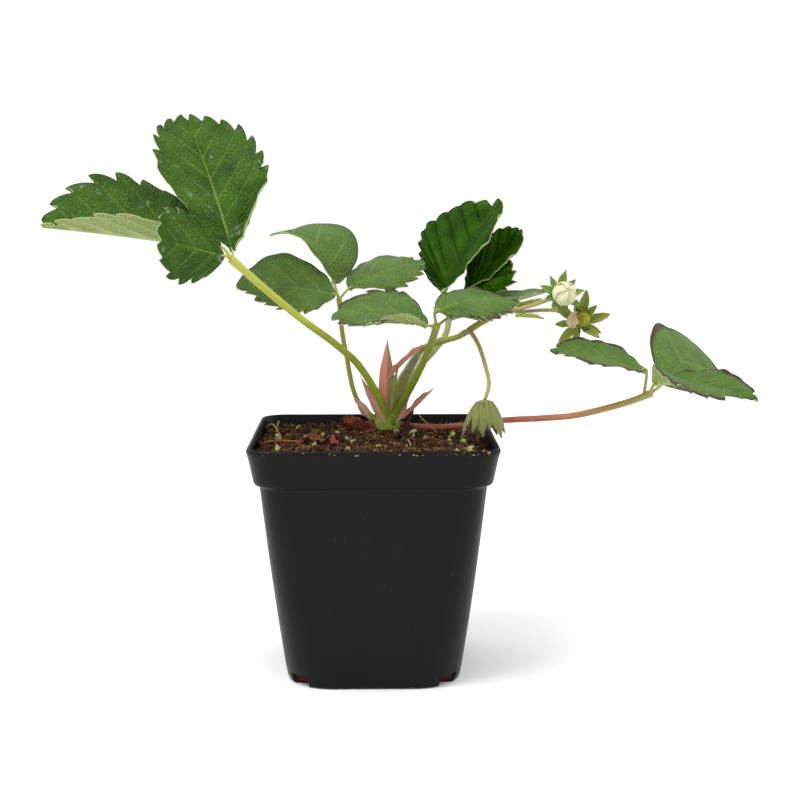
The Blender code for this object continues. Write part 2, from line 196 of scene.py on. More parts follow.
inside = [(RIM_WIDTH - 2.1, RIM_CORNER - 1, RIM_Z - 0.1), (RIM_WIDTH - 2.7, RIM_CORNER - 1, RIM_Z - 0.7),
          (BAND_WIDTH + 1.0, RIM_CORNER - 0.6, BAND_Z + 8),
          (BAND_WIDTH - 1.6, RIM_CORNER - 0.2, BAND_Z + 0.9),
          (BODY_TOP_WIDTH - 1.8, RIM_CORNER + 0.1, BODY_TOP_Z + 0.6)]
inside += [(body_width(z) - 2 * WALL, body_corner(z) - WALL, z) for z in (64, 46, 28, 12, 2.4)]
inside += [(BASE_WIDTH - 4.2, BASE_CORNER - 2.1, WALL)]
pot_form = Form()
pot_form.add(*loft([rounded_square(*ring) for ring in outside + inside]))

# black polypropylene: satin and slightly uneven, with dusty marks and scuffs
plastic, tree, shader = new_material("moulded_black_polypropylene")
place = add(tree, "TexCoord", {}, "Object")
cloud = add(tree, "TexNoise", {"Vector": place, "Scale": 1 / (14 * MM), "Detail": 6.0, "Roughness": 0.62})
grit = add(tree, "TexNoise", {"Vector": place, "Scale": 1 / (0.9 * MM), "Detail": 3.0})
scuff_place = add(tree, "Mapping", {"Vector": place, "Scale": (1.0, 1.0, 0.16)})
scuff = add(tree, "TexNoise", {"Vector": scuff_place, "Scale": 1 / (1.6 * MM), "Detail": 4.0})
dust = add(tree, "MapRange", {0: cloud, 1: 0.52, 2: 0.78, 3: 0.0, 4: 1.0})
speck = add(tree, "MapRange", {0: grit, 1: 0.64, 2: 0.74, 3: 0.0, 4: 0.55})
dirt = add(tree, "Math", {0: dust, 1: speck}, operation="MULTIPLY")
tint = add(tree, "Mix", {0: cloud, 6: rgb("#060607"), 7: rgb("#0e0e0f")}, 2, data_type="RGBA")
tint = add(tree, "Mix", {0: dirt, 6: tint, 7: rgb("#5c574d")}, 2, data_type="RGBA")
rough = add(tree, "MapRange", {0: scuff, 1: 0.3, 2: 0.75, 3: 0.3, 4: 0.46})
skin = add(tree, "Math", {0: grit, 1: scuff}, operation="ADD")
relief = add(tree, "Bump", {"Height": skin, "Strength": 0.25, "Distance": 0.05 * MM})
feed(tree, shader, {"Base Color": tint, "Roughness": rough, "Normal": relief, "Specular IOR Level": 0.13})

pot = piece("pot", pot_form, [plastic], 40)
for quarter in range(4):
    # each slot is a box cut away under the corner
    bm = bmesh.new()
    bmesh.ops.create_cube(bm, size=1)
    reach = BASE_WIDTH / 2 - SLOT_START + 6
    turn = math.radians(45 + 90 * quarter)
    middle = Vector((math.copysign(SLOT_START + reach / 2, math.cos(turn)),
                     math.copysign(SLOT_START + reach / 2, math.sin(turn)), SLOT_HEIGHT / 2 - 1))
    bmesh.ops.scale(bm, vec=Vector((reach, reach, SLOT_HEIGHT + 2)) * MM, verts=bm.verts)
    bmesh.ops.translate(bm, vec=middle * MM, verts=bm.verts)
    cutter_mesh = bpy.data.meshes.new("slot_cutter")
    bm.to_mesh(cutter_mesh)
    bm.free()
    cutter = placed("slot_cutter", cutter_mesh)
    cut = pot.modifiers.new("slot", "BOOLEAN")
    cut.operation, cut.solver, cut.object = "DIFFERENCE", "EXACT", cutter
    bpy.context.view_layer.update()
    cut_mesh = bpy.data.meshes.new_from_object(pot.evaluated_get(bpy.context.evaluated_depsgraph_get()))
    pot.modifiers.clear()
    pot.data = cut_mesh
    bpy.data.objects.remove(cutter)


# ------------------------------------------------------------------- Potting mix
# Brown fibrous peat with coir, filled to a few millimetres under the lip and mounded at
# the crown. Its surface is crumbs and curled fibres, and some are stuck on the front lip.
rng = np.random.default_rng(11)
CROWN_X, CROWN_Y = 5.0, 16.0
SOIL_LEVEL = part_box("soil")[1].z / MM - 0.9
MOUND_HEIGHT, MOUND_REACH = 2.4, 13.0


def soil_height(x, y):
    away = ((x - CROWN_X) ** 2 + (y - CROWN_Y) ** 2) / MOUND_REACH ** 2
    edge = max(abs(x), abs(y)) / 42
    rough = 1.0 * noise.noise(Vector((x, y, 3.0)) / 6) + 0.8 * noise.noise(Vector((x, y, 9.0)) / 2.2)
    return SOIL_LEVEL + MOUND_HEIGHT * math.exp(-away) + rough - 1.0 * edge ** 6


def smooth_route(points, steps=10):
    """A Catmull-Rom curve through given points."""
    route = np.asarray(points, float)
    ends = np.vstack((2 * route[0] - route[1], route, 2 * route[-1] - route[-2]))
    smooth = []
    for a, b, c, d in zip(ends, ends[1:], ends[2:], ends[3:]):
        for t in np.arange(steps) / steps:
            smooth.append(0.5 * (2 * b + (c - a) * t + (2 * a - 5 * b + 4 * c - d) * t ** 2
                                 + (3 * b - a - 3 * c + d) * t ** 3))
    smooth.append(route[-1])
    return np.array(smooth)


def unit(vectors):
    return vectors / np.maximum(np.linalg.norm(vectors, axis=-1, keepdims=True), 1e-12)


def tube(route, radii, around=12, ribs=0.0, squash=1.0):
    """Points and faces of a stalk along a route, its frame carried without twist.
    Returns also the share along it of each point, and its outward directions."""
    ahead = unit(np.gradient(route, axis=0))
    side = unit(np.cross(ahead[0], (0.31, 0.9, 0.2)))
    turns = np.arange(around) * 2 * math.pi / around
    rings, outs = [], []
    for centre, forward, radius in zip(route, ahead, radii):
        side = unit(side - forward * side.dot(forward))
        up = np.cross(forward, side)
        out = np.cos(turns)[:, None] * side + squash * np.sin(turns)[:, None] * up
        rings.append(centre + radius * (1 + ribs * np.cos(4 * turns))[:, None] * out)
        outs.append(out)
    points, faces = loft(rings)
    share = np.repeat(np.linspace(0, 1, len(route)), around)
    marks = np.stack((share, np.tile(turns, len(route)), 0 * share), 1)
    return points, faces, marks, np.concatenate(outs)


def lumps(subdivisions, kinds, roughness):
    """A few roughened little balls to scatter as crumbs and grains."""
    bm = bmesh.new()
    bmesh.ops.create_icosphere(bm, subdivisions=subdivisions, radius=1)
    points = np.array([vert.co for vert in bm.verts])
    faces = [tuple(vert.index for vert in face.verts) for face in bm.faces]
    bm.free()
    shapes = []
    for kind in range(kinds):
        swell = [1 + roughness * noise.noise(Vector(p) * 1.7 + Vector((kind * 5.0, 0, 0))) for p in points]
        shapes.append(points * np.array(swell)[:, None])
    return shapes, faces


def spin():
    """A random rotation."""
    turned = np.linalg.qr(rng.normal(size=(3, 3)))[0]
    return turned * np.sign(np.linalg.det(turned))


def read_marks(tree):
    """The three marks that each point of a form carries, as outputs."""
    marks = add(tree, "Attribute", {}, "Vector", attribute_name="marks")
    return add(tree, "SeparateXYZ", {0: marks}).node.outputs


soil_form = Form()
edge_ring = rounded_square(RIM_WIDTH - 3.6, RIM_CORNER - 1.4, 0, 8, 40)
SOIL_RINGS = 56
soil_rings = []
for share in np.linspace(1, 0.01, SOIL_RINGS):
    ring = edge_ring * share
    ring[:, 2] = [soil_height(x, y) for x, y, _ in ring]
    soil_rings.append(ring)
body = [rounded_square(body_width(z) - 2 * WALL - 1.0, body_corner(z) - 1.4, z, 8, 40)
        for z in (1.6, 12, 28, 46, 64, BODY_TOP_Z - 1)]
body.append(rounded_square(BAND_WIDTH - 3.4, RIM_CORNER - 0.6, BAND_Z + 2.4, 8, 40))
soil_form.add(*loft(body + soil_rings))

CRUMB_KINDS = 7
crumb_shapes, crumb_faces = lumps(2, CRUMB_KINDS, 1.3)


def spot_in_pot(margin):
    """A random place on the mix, at least a margin from the pot's wall."""
    reach, corner = RIM_WIDTH / 2 - 2.4 - margin, RIM_CORNER - 2
    while True:
        x, y = rng.uniform(-reach, reach, 2)
        if math.hypot(max(abs(x) - reach + corner, 0), max(abs(y) - reach + corner, 0)) < corner:
            return x, y


CRUMBS = 2100
for _ in range(CRUMBS):
    x, y = spot_in_pot(0.9)
    size = rng.choice((0.45, 0.7, 1.0, 1.5), p=(0.3, 0.32, 0.24, 0.14)) * rng.uniform(0.7, 1.25)
    shape = crumb_shapes[rng.integers(CRUMB_KINDS)] * (1.0, rng.uniform(0.6, 1),
                                                       rng.uniform(0.45, 0.8)) * size
    spot = np.array((x, y, soil_height(x, y) + 0.3 * size))
    soil_form.add(shape @ spin().T + spot, crumb_faces, 0, (rng.uniform(), 0, 0))
LIP_CRUMBS, NEAR_CRUMBS = 240, 210      # crumbs stuck on the front lip, most of them in its middle
for k in range(LIP_CRUMBS):
    x = rng.uniform(-16, 40) if k < NEAR_CRUMBS else rng.uniform(-38, 38)
    size = rng.uniform(0.12, 0.36)
    down = rng.uniform(0.0, 1.5)
    spot = np.array((x, -RIM_WIDTH / 2 + 1.1 * math.exp(-1.6 * down), RIM_Z - down))
    soil_form.add(crumb_shapes[rng.integers(CRUMB_KINDS)] * size * (1.3, 0.7, 0.6) + spot, crumb_faces,
                  rng.choice((0, 1, 3), p=(0.72, 0.2, 0.08)), (rng.uniform(), 0, 0))
FIBRES, FIBRE_PLACES, FIBRE_REACH = 900, 7, 40.5
for _ in range(FIBRES):
    x, y = spot_in_pot(2.0)
    heading, length = rng.uniform(0, 2 * math.pi), rng.uniform(2.5, 10)
    curl = rng.normal(0, 0.9)
    route = []
    for share in np.linspace(0, 1, FIBRE_PLACES):
        turn = heading + curl * share * 1.6
        route.append((x, y, min(soil_height(x, y) + 0.25 + rng.uniform(0, 0.9), RIM_Z + 1)))
        step = length / (FIBRE_PLACES - 1)
        x = float(np.clip(x + step * math.cos(turn), -FIBRE_REACH, FIBRE_REACH))
        y = float(np.clip(y + step * math.sin(turn), -FIBRE_REACH, FIBRE_REACH))
    radius = rng.uniform(0.09, 0.19)
    points, faces, _, _ = tube(np.array(route), np.linspace(radius, radius * 0.5, FIBRE_PLACES), 4)
    soil_form.add(points, faces, rng.choice((1, 2)), (rng.uniform(), 0, 0))
GRAINS = 26                              # small pale grains among the crumbs
for _ in range(GRAINS):
    x, y = spot_in_pot(3.0)
    size = rng.uniform(0.5, 1.15)
    spot = (x, y, soil_height(x, y) + 0.6 * size)
    shape = crumb_shapes[rng.integers(CRUMB_KINDS)] * size
    soil_form.add(shape @ spin().T + spot, crumb_faces, 3, (rng.uniform(), 0, 0))
# straws that stand proud of the mix, as ends and a middle
STRAWS = (((-41.5, 22, 86.6), (-38.5, 14, 89.4), (-34.5, 2, 86.8)),
          ((18, 28, 90.5), (21, 18, 88.6), (24, 8, 87)),
          ((12, -10, 86.6), (12.6, -15, 88), (13.4, -22, 87)),
          ((-37, 10, 87), (-36, 14, 90.6), (-37.5, 17, 87.6)))
for straw in STRAWS:
    points, faces, _, _ = tube(smooth_route(straw, 8), np.full(17, 0.2), 6)
    soil_form.add(points, faces, 1, (0.8, 0, 0))

# peat: dull, open and very rough; each crumb has its own brown
peat, tree, shader = new_material("fibrous_peat")
own = read_marks(tree)[0]
place = add(tree, "TexCoord", {}, "Object")
grain = add(tree, "TexNoise", {"Vector": place, "Scale": 1 / (1.1 * MM), "Detail": 8.0, "Roughness": 0.7})
patch = add(tree, "TexNoise", {"Vector": place, "Scale": 1 / (7 * MM), "Detail": 3.0})
tint = add(tree, "Mix", {0: own, 6: rgb("#2a1a10"), 7: rgb("#6b4c30")}, 2, data_type="RGBA")
tint = add(tree, "Mix", {0: patch, 6: tint, 7: rgb("#43291a")}, 2, data_type="RGBA")
fleck = add(tree, "MapRange", {0: grain, 1: 0.35, 2: 0.68, 3: 0.15, 4: 1.35})
tint = add(tree, "VectorMath", {0: tint, "Scale": fleck}, operation="SCALE")
relief = add(tree, "Bump", {"Height": grain, "Strength": 0.9, "Distance": 0.5 * MM})
feed(tree, shader, {"Base Color": tint, "Roughness": 0.95, "Normal": relief, "Specular IOR Level": 0.15})


def strand_material(name, dark, light):
    """Dead plant fibre: dry, matt and streaked along its length."""
    made, tree, shader = new_material(name)
    place = add(tree, "TexCoord", {}, "Object")
    streak = add(tree, "TexNoise", {"Vector": place, "Scale": 1 / (0.6 * MM), "Detail": 4.0})
    own = read_marks(tree)[0]
    both = add(tree, "Math", {0: own, 1: 0.6, 2: streak}, operation="MULTIPLY_ADD")
    blend = add(tree, "MapRange", {0: both, 1: 0.35, 2: 1.1, 3: 0.0, 4: 1.0})
    tint = add(tree, "Mix", {0: blend, 6: rgb(dark), 7: rgb(light)}, 2, data_type="RGBA")
    relief = add(tree, "Bump", {"Height": streak, "Strength": 0.5, "Distance": 0.1 * MM})
    feed(tree, shader, {"Base Color": tint, "Roughness": 0.8, "Normal": relief, "Specular IOR Level": 0.3})
    return made


coir_tan = strand_material("dry_coir_fibre", "#5c4224", "#a88858")
coir_brown = strand_material("dark_root_fibre", "#341d10", "#7c4a2a")
lime_dust = strand_material("pale_mineral_dust", "#777a38", "#b5b480")
piece("soil", soil_form, [peat, coir_tan, coir_brown, lime_dust])


# ---------------------------------------------------------------------- Granules
# Pale yellow-green mineral grains, about 3 mm, lying loose on the mix. They are broken
# stone, so each is angular, and the fine pores hold some of the peat.
grain_stone, tree, shader = new_material("broken_mineral_grain")
place = add(tree, "TexCoord", {}, "Object")
cloud = add(tree, "TexNoise", {"Vector": place, "Scale": 1 / (1.8 * MM), "Detail": 5.0, "Roughness": 0.6})
pores = add(tree, "TexVoronoi", {"Vector": place, "Scale": 1 / (0.5 * MM)}, "Distance")
cover = add(tree, "MapRange", {0: cloud, 1: 0.42, 2: 0.66, 3: 0.0, 4: 1.0})
tint = add(tree, "Mix", {0: cover, 6: rgb("#8f9340"), 7: rgb("#b9b684")}, 2, data_type="RGBA")
soiled = add(tree, "MapRange", {0: pores, 1: 0.1, 2: 0.35, 3: 0.55, 4: 0.0})
tint = add(tree, "Mix", {0: soiled, 6: tint, 7: rgb("#6b6030")}, 2, data_type="RGBA")
relief = add(tree, "Bump", {"Height": pores, "Strength": 0.6, "Distance": 0.15 * MM})
feed(tree, shader, {"Base Color": tint, "Roughness": 0.85, "Normal": relief})
GRANULES = 10
stone_shapes, stone_faces = lumps(3, GRANULES, 0.9)
for number in range(GRANULES):
    low, high = (np.array(corner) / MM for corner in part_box(f"granule_{number + 1}"))
    middle, half = (low + high) / 2, (high - low) / 2
    middle[2] = soil_height(middle[0], middle[1]) + half[2] * 1.1
    grain_form = Form()
    # faces of the stone: points are pulled back to a few random planes
    points = stone_shapes[number].copy()
    for cut in unit(rng.normal(size=(9, 3))):
        over = np.maximum(points @ cut - 0.78, 0)
        points -= over[:, None] * cut
    grain_form.add(points * half.max() * (1.3, 1.1, 1.0) @ spin().T + middle, stone_faces)
    piece(f"granule_{number + 1}", grain_form, [grain_stone], 28)


# ------------------------------------------------------------------------ Crown
# The short stem at soil level that every stalk grows from: bright green living tissue,
# swollen into low lobes below the stalks and brown with old scales where it meets the mix.
crown_low = np.array(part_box("crown")[0]) / MM
CROWN_PROFILE = ((0.4, 9.6), (2.0, 9.3), (3.1, 8.4), (3.9, 7.0), (4.5, 5.2), (4.9, 3.4), (4.9, 2.0),
                 (4.7, 0.6), (4.5, -1.2))
SCALE_RADII = (0.8, 1.0, 1.1, 1.1, 1.0, 0.9, 0.7, 0.4, 0.1)
crown_form = Form()
rings = []
for radius, lift in CROWN_PROFILE:
    turns = np.arange(60) * 2 * math.pi / 60
    lobed = radius * (1 + 0.05 * np.cos(3 * turns + 0.6) + 0.015 * np.cos(11 * turns))
    rings.append(np.stack((CROWN_X + lobed * np.cos(turns), CROWN_Y + lobed * np.sin(turns),
                           np.full(60, crown_low[2] - 1 + lift)), 1))
points, faces = loft(rings[::-1])
height = (points[:, 2] - points[:, 2].min()) / np.ptp(points[:, 2])
crown_form.add(points, faces, 0, np.stack((height, 0 * height, 0 * height), 1))
for turn in np.linspace(0, 2 * math.pi, 9)[:-1]:
    # dead scales around its foot
    foot = np.array((CROWN_X + 4.6 * math.cos(turn), CROWN_Y + 4.6 * math.sin(turn), crown_low[2] - 0.5))
    out = np.array((math.cos(turn), math.sin(turn), 0))
    route = np.array([foot, foot + out * 0.8 + (0, 0, 1.4),
                      foot + out * 1.9 + (0, 0, 2.2 + rng.uniform(0, 1))])
    points, faces, _, _ = tube(smooth_route(route, 4), SCALE_RADII, 8, 0, 0.3)
    crown_form.add(points, faces, 1, (rng.uniform(), 0, 0))
crown_green, tree, shader = new_material("living_crown_tissue")
own = read_marks(tree)[0]
place = add(tree, "TexCoord", {}, "Object")
streaks = add(tree, "Mapping", {"Vector": place, "Scale": (1.0, 1.0, 0.2)})
streaks = add(tree, "TexNoise", {"Vector": streaks, "Scale": 1 / (0.7 * MM), "Detail": 4.0})
tint = add(tree, "Mix", {0: streaks, 6: rgb("#5f7410"), 7: rgb("#8fa22e")}, 2, data_type="RGBA")
foot = add(tree, "MapRange", {0: own, 1: 0.1, 2: 0.3, 3: 1.0, 4: 0.0})
tint = add(tree, "Mix", {0: foot, 6: tint, 7: rgb("#5a4520")}, 2, data_type="RGBA")
relief = add(tree, "Bump", {"Height": streaks, "Strength": 0.5, "Distance": 0.15 * MM})
feed(tree, shader, {"Base Color": tint, "Roughness": 0.5, "Normal": relief})
old_scale = strand_material("dead_bud_scale", "#3a1c10", "#8a4a24")
piece("crown", crown_form, [crown_green, old_scale])


# --------------------------------------------------------------------- Leaflets
# Fifteen leaflets, three to a leaf: thin living blades, folded along a sunken midrib and
# quilted between side veins that each run out to a tooth. Dark and satin above, pale and
# silky below, with a purple-brown edge on the leaves that have had cold or sun.
FIELDS = ("base", "heading", "rise", "roll", "length", "left", "right",
          "fold_left", "fold_right", "arch", "bend", "cup", "peak")
# base in mm; heading, rise and roll of the midrib in degrees; length and two half widths
# in mm; upward fold of each half; droop; sideways bend; cupping; widest station of each half
LEAFLETS = {
    "leaf1_leaflet_left": ((-50, -12.4, 155.4), 140, 69, -10, 58.5, 21, 23, 6, 22, 23, -10, -5,
                           (0.66, 0.56)),
    "leaf1_leaflet_middle": ((-53, -15.6, 157.4), 186, 9, -6, 64, 15.5, 28, 33, 43, 4, 0, 0, (0.5, 0.62)),
    "leaf1_leaflet_right": ((-51.6, -19.6, 154.6), 222, 12, -72, 31, 14, 13.5, -4, 0, -6, 0, 0,
                            (0.68, 0.68)),
    "leaf2_leaflet_middle": ((-14.6, 25, 141.5), 138, 84, 6, 41, 6, 22, 0, 10, 104, 8, 0, (0.5, 0.52)),
    "leaf2_leaflet_left": ((-13.6, 18, 138.6), 183, 13, -15, 38.5, 18, 20, -14, 21, 20, 0, 0, (0.42, 0.56)),
    "leaf2_leaflet_right": ((-9.6, 24, 140.2), 22, 34, 3, 34, 18.6, 16, 14, -11, 34, -1, -20, (0.54, 0.54)),
    "leaf3_leaflet_left": ((20, -10, 129), 170, 22, -10, 37, 17, 20, -2, 15, 36, 2, 0, (0.56, 0.56)),
    "leaf3_leaflet_middle": ((22.0, -12.6, 134.4), 24, 24, -5, 38, 15.5, 14, 14, -34, 44, 0, 0,
                             (0.5, 0.46)),
    "leaf3_leaflet_right": ((28.0, 2.6, 131.0), 24, 12, 0, 46, 13, 11.5, 8, 12, 0, -2, 0, (0.54, 0.54)),
    "leaf4_leaflet_left": ((26.6, 22.6, 138.8), 54, 46, 0, 49.5, 27.5, 16, -5, 28, 0, -6, 0, (0.68, 0.54)),
    "leaf4_leaflet_middle": ((35, 27, 139), 35, 36, 32, 37, 9, 12, 40, 40, -6, 5, 0, (0.56, 0.56)),
    "leaf4_leaflet_right": ((37.2, 25.4, 138.2), 2, 36, 28, 20.5, 10, 13, 6, 0, 0, 2, 0, (0.54, 0.6)),
    "leaf5_leaflet_left": ((96, -31, 114.8), 175, 20, -8, 35, 13, 13, 2, 14, 16, 2, 0, (0.54, 0.54)),
    "leaf5_leaflet_middle": ((98, -34, 111), -56, 12, 13, 44, 9, 15, 14, -2, 30, 5, 0, (0.5, 0.44)),
    "leaf5_leaflet_right": ((102, -29, 110), 49, 25, 40, 43, 16, 19, 2, -3, 32, 12, 0, (0.56, 0.56)),
}
# teeth on the left and right halves, how far each half furls up at its base in degrees,
# the station where teeth start and how deep they are as a share of the half width
HABIT = {
    "leaf1_leaflet_left": (4, 6, 0, 150, 0.42, 0.15),
    "leaf1_leaflet_middle": (4, 5, 0, 0, 0.4, 0.16),
    "leaf1_leaflet_right": (4, 3, 0, 0, 0.4, 0.17),
    "leaf2_leaflet_middle": (0, 0, 0, 0, 0.5, 0.1),
    "leaf2_leaflet_left": (6, 0, 0, 0, 0.2, 0.16),
    "leaf2_leaflet_right": (1, 4, 0, 0, 0.4, 0.16),
    "leaf3_leaflet_left": (5, 5, 150, 0, 0.3, 0.14),
    "leaf3_leaflet_middle": (1, 8, 0, 0, 0.2, 0.17),
    "leaf3_leaflet_right": (5, 5, 0, 0, 0.3, 0.1),
    "leaf4_leaflet_left": (9, 0, 0, 0, 0.2, 0.075),
    "leaf4_leaflet_middle": (5, 0, 0, 0, 0.4, 0.1),
    "leaf4_leaflet_right": (3, 3, 0, 0, 0.45, 0.16),
    "leaf5_leaflet_left": (5, 1, 0, 0, 0.4, 0.12),
    "leaf5_leaflet_middle": (2, 7, 0, 0, 0.25, 0.15),
    "leaf5_leaflet_right": (1, 1, 0, 0, 0.5, 0.1),
}
# how much further each half folds up at its base, in degrees, where it does
LIFTED = {"leaf5_leaflet_middle": (0, 62)}
# how strongly each leaf is quilted (mm), how purple its edge is, and how far forward its
# side veins sweep
LEAF_STATE = {"leaf1": (0.4, 0.0, 1.0), "leaf2": (0.3, 0.3, 0.9), "leaf3": (0.35, 0.8, 0.9),
              "leaf4": (1.4, 0.0, 1.5), "leaf5": (0.25, 1.0, 0.9)}
ROWS_PER_TOOTH = 12
NOTCH_PHASE = 0.78              # a tooth points forward: its long edge is behind its tip
LEAF_THICKNESS = 0.34
LIFT_REACH = 0.45               # share of the length over which a base's extra fold dies out
FURL_PLACE, FURL_REACH = 0.14, 0.22


def shaped(row, furl=(0, 0), lifted=(0, 0)):
    """A blade's row of values, with the axes along its midrib, to its left and out of its face."""
    form = dict(zip(FIELDS, row), furl=furl, lifted=lifted)
    turn = Matrix.Rotation(math.radians(form["heading"]), 3, "Z")
    lift = Matrix.Rotation(-math.radians(form["rise"]), 3, "Y")
    tilt = Matrix.Rotation(math.radians(form["roll"]), 3, "X")
    form["axes"] = np.array((turn @ lift @ tilt).transposed())
    form["base"] = np.array(form["base"], float)
    return form


def half_width(station, peak, root=0.9):
    """Outline of an obovate blade: 0 at both ends and 1 at the peak station."""
    tip = root * (1 - peak) / peak
    return station ** root * (1 - station) ** tip / (peak ** root * (1 - peak) ** tip)


def bend_sheet(form, along, across):
    """Bend flat places, along and across the midrib in mm, into droop, fold and cup."""
    length = form["length"]
    leftward = across >= 0
    wing = np.where(leftward, form["left"], form["right"])
    at = along / length
    fold = np.where(leftward, form["fold_left"], form["fold_right"])
    fold = np.radians(fold + np.where(leftward, *form["lifted"]) * np.exp(-(at / LIFT_REACH) ** 2))
    out = np.abs(across) / wing
    droop = math.radians(form["arch"]) or 1e-6
    cup = math.radians(form["cup"]) or 1e-6
    # the outer half of a furled base rolls up on itself
    peak = np.where(leftward, *np.broadcast_to(form["peak"], 2))
    local = wing * half_width(np.clip(at, 1e-3, 0.999), peak) + 1e-6
    furl = np.radians(np.where(leftward, *form["furl"]))
    furl = furl * np.exp(-((at - FURL_PLACE) / FURL_REACH) ** 2) + 1e-6
    strip = 0.5 * local
    roll = furl * np.clip(np.abs(across) / strip - 1, 0, 1)
    out = np.where(roll > 1e-5, (strip + strip * np.sin(roll) / furl) / wing, out)
    rolled = strip * (1 - np.cos(roll)) / furl
    flat = wing * (np.sin(fold + cup * out) - np.sin(fold)) / cup
    lift = wing * (np.cos(fold) - np.cos(fold + cup * out)) / cup
    tilt = fold + cup * out
    flat, lift = flat - rolled * np.sin(tilt), lift + rolled * np.cos(tilt)
    x = length * np.sin(droop * at) / droop + lift * np.sin(droop * at)
    y = length * math.radians(form["bend"]) * at ** 2 / 2 + np.sign(across) * flat
    z = -length * (1 - np.cos(droop * at)) / droop + lift * np.cos(droop * at)
    spread = np.stack((x, y, z), -1)
    return form["base"] + spread @ form["axes"]


def margin(form, half):
    """Margin of one half in flat places, from base to tip, with the distance run along it."""
    station = np.linspace(0.015, 0.998, 3000)
    peak = form["peak"] if np.isscalar(form["peak"]) else form["peak"][half == "right"]
    line = np.stack((form["length"] * station, form[half] * half_width(station, peak)), 1)
    run = np.concatenate(((0,), np.cumsum(np.linalg.norm(np.diff(line, axis=0), axis=1))))
    return station, line, run


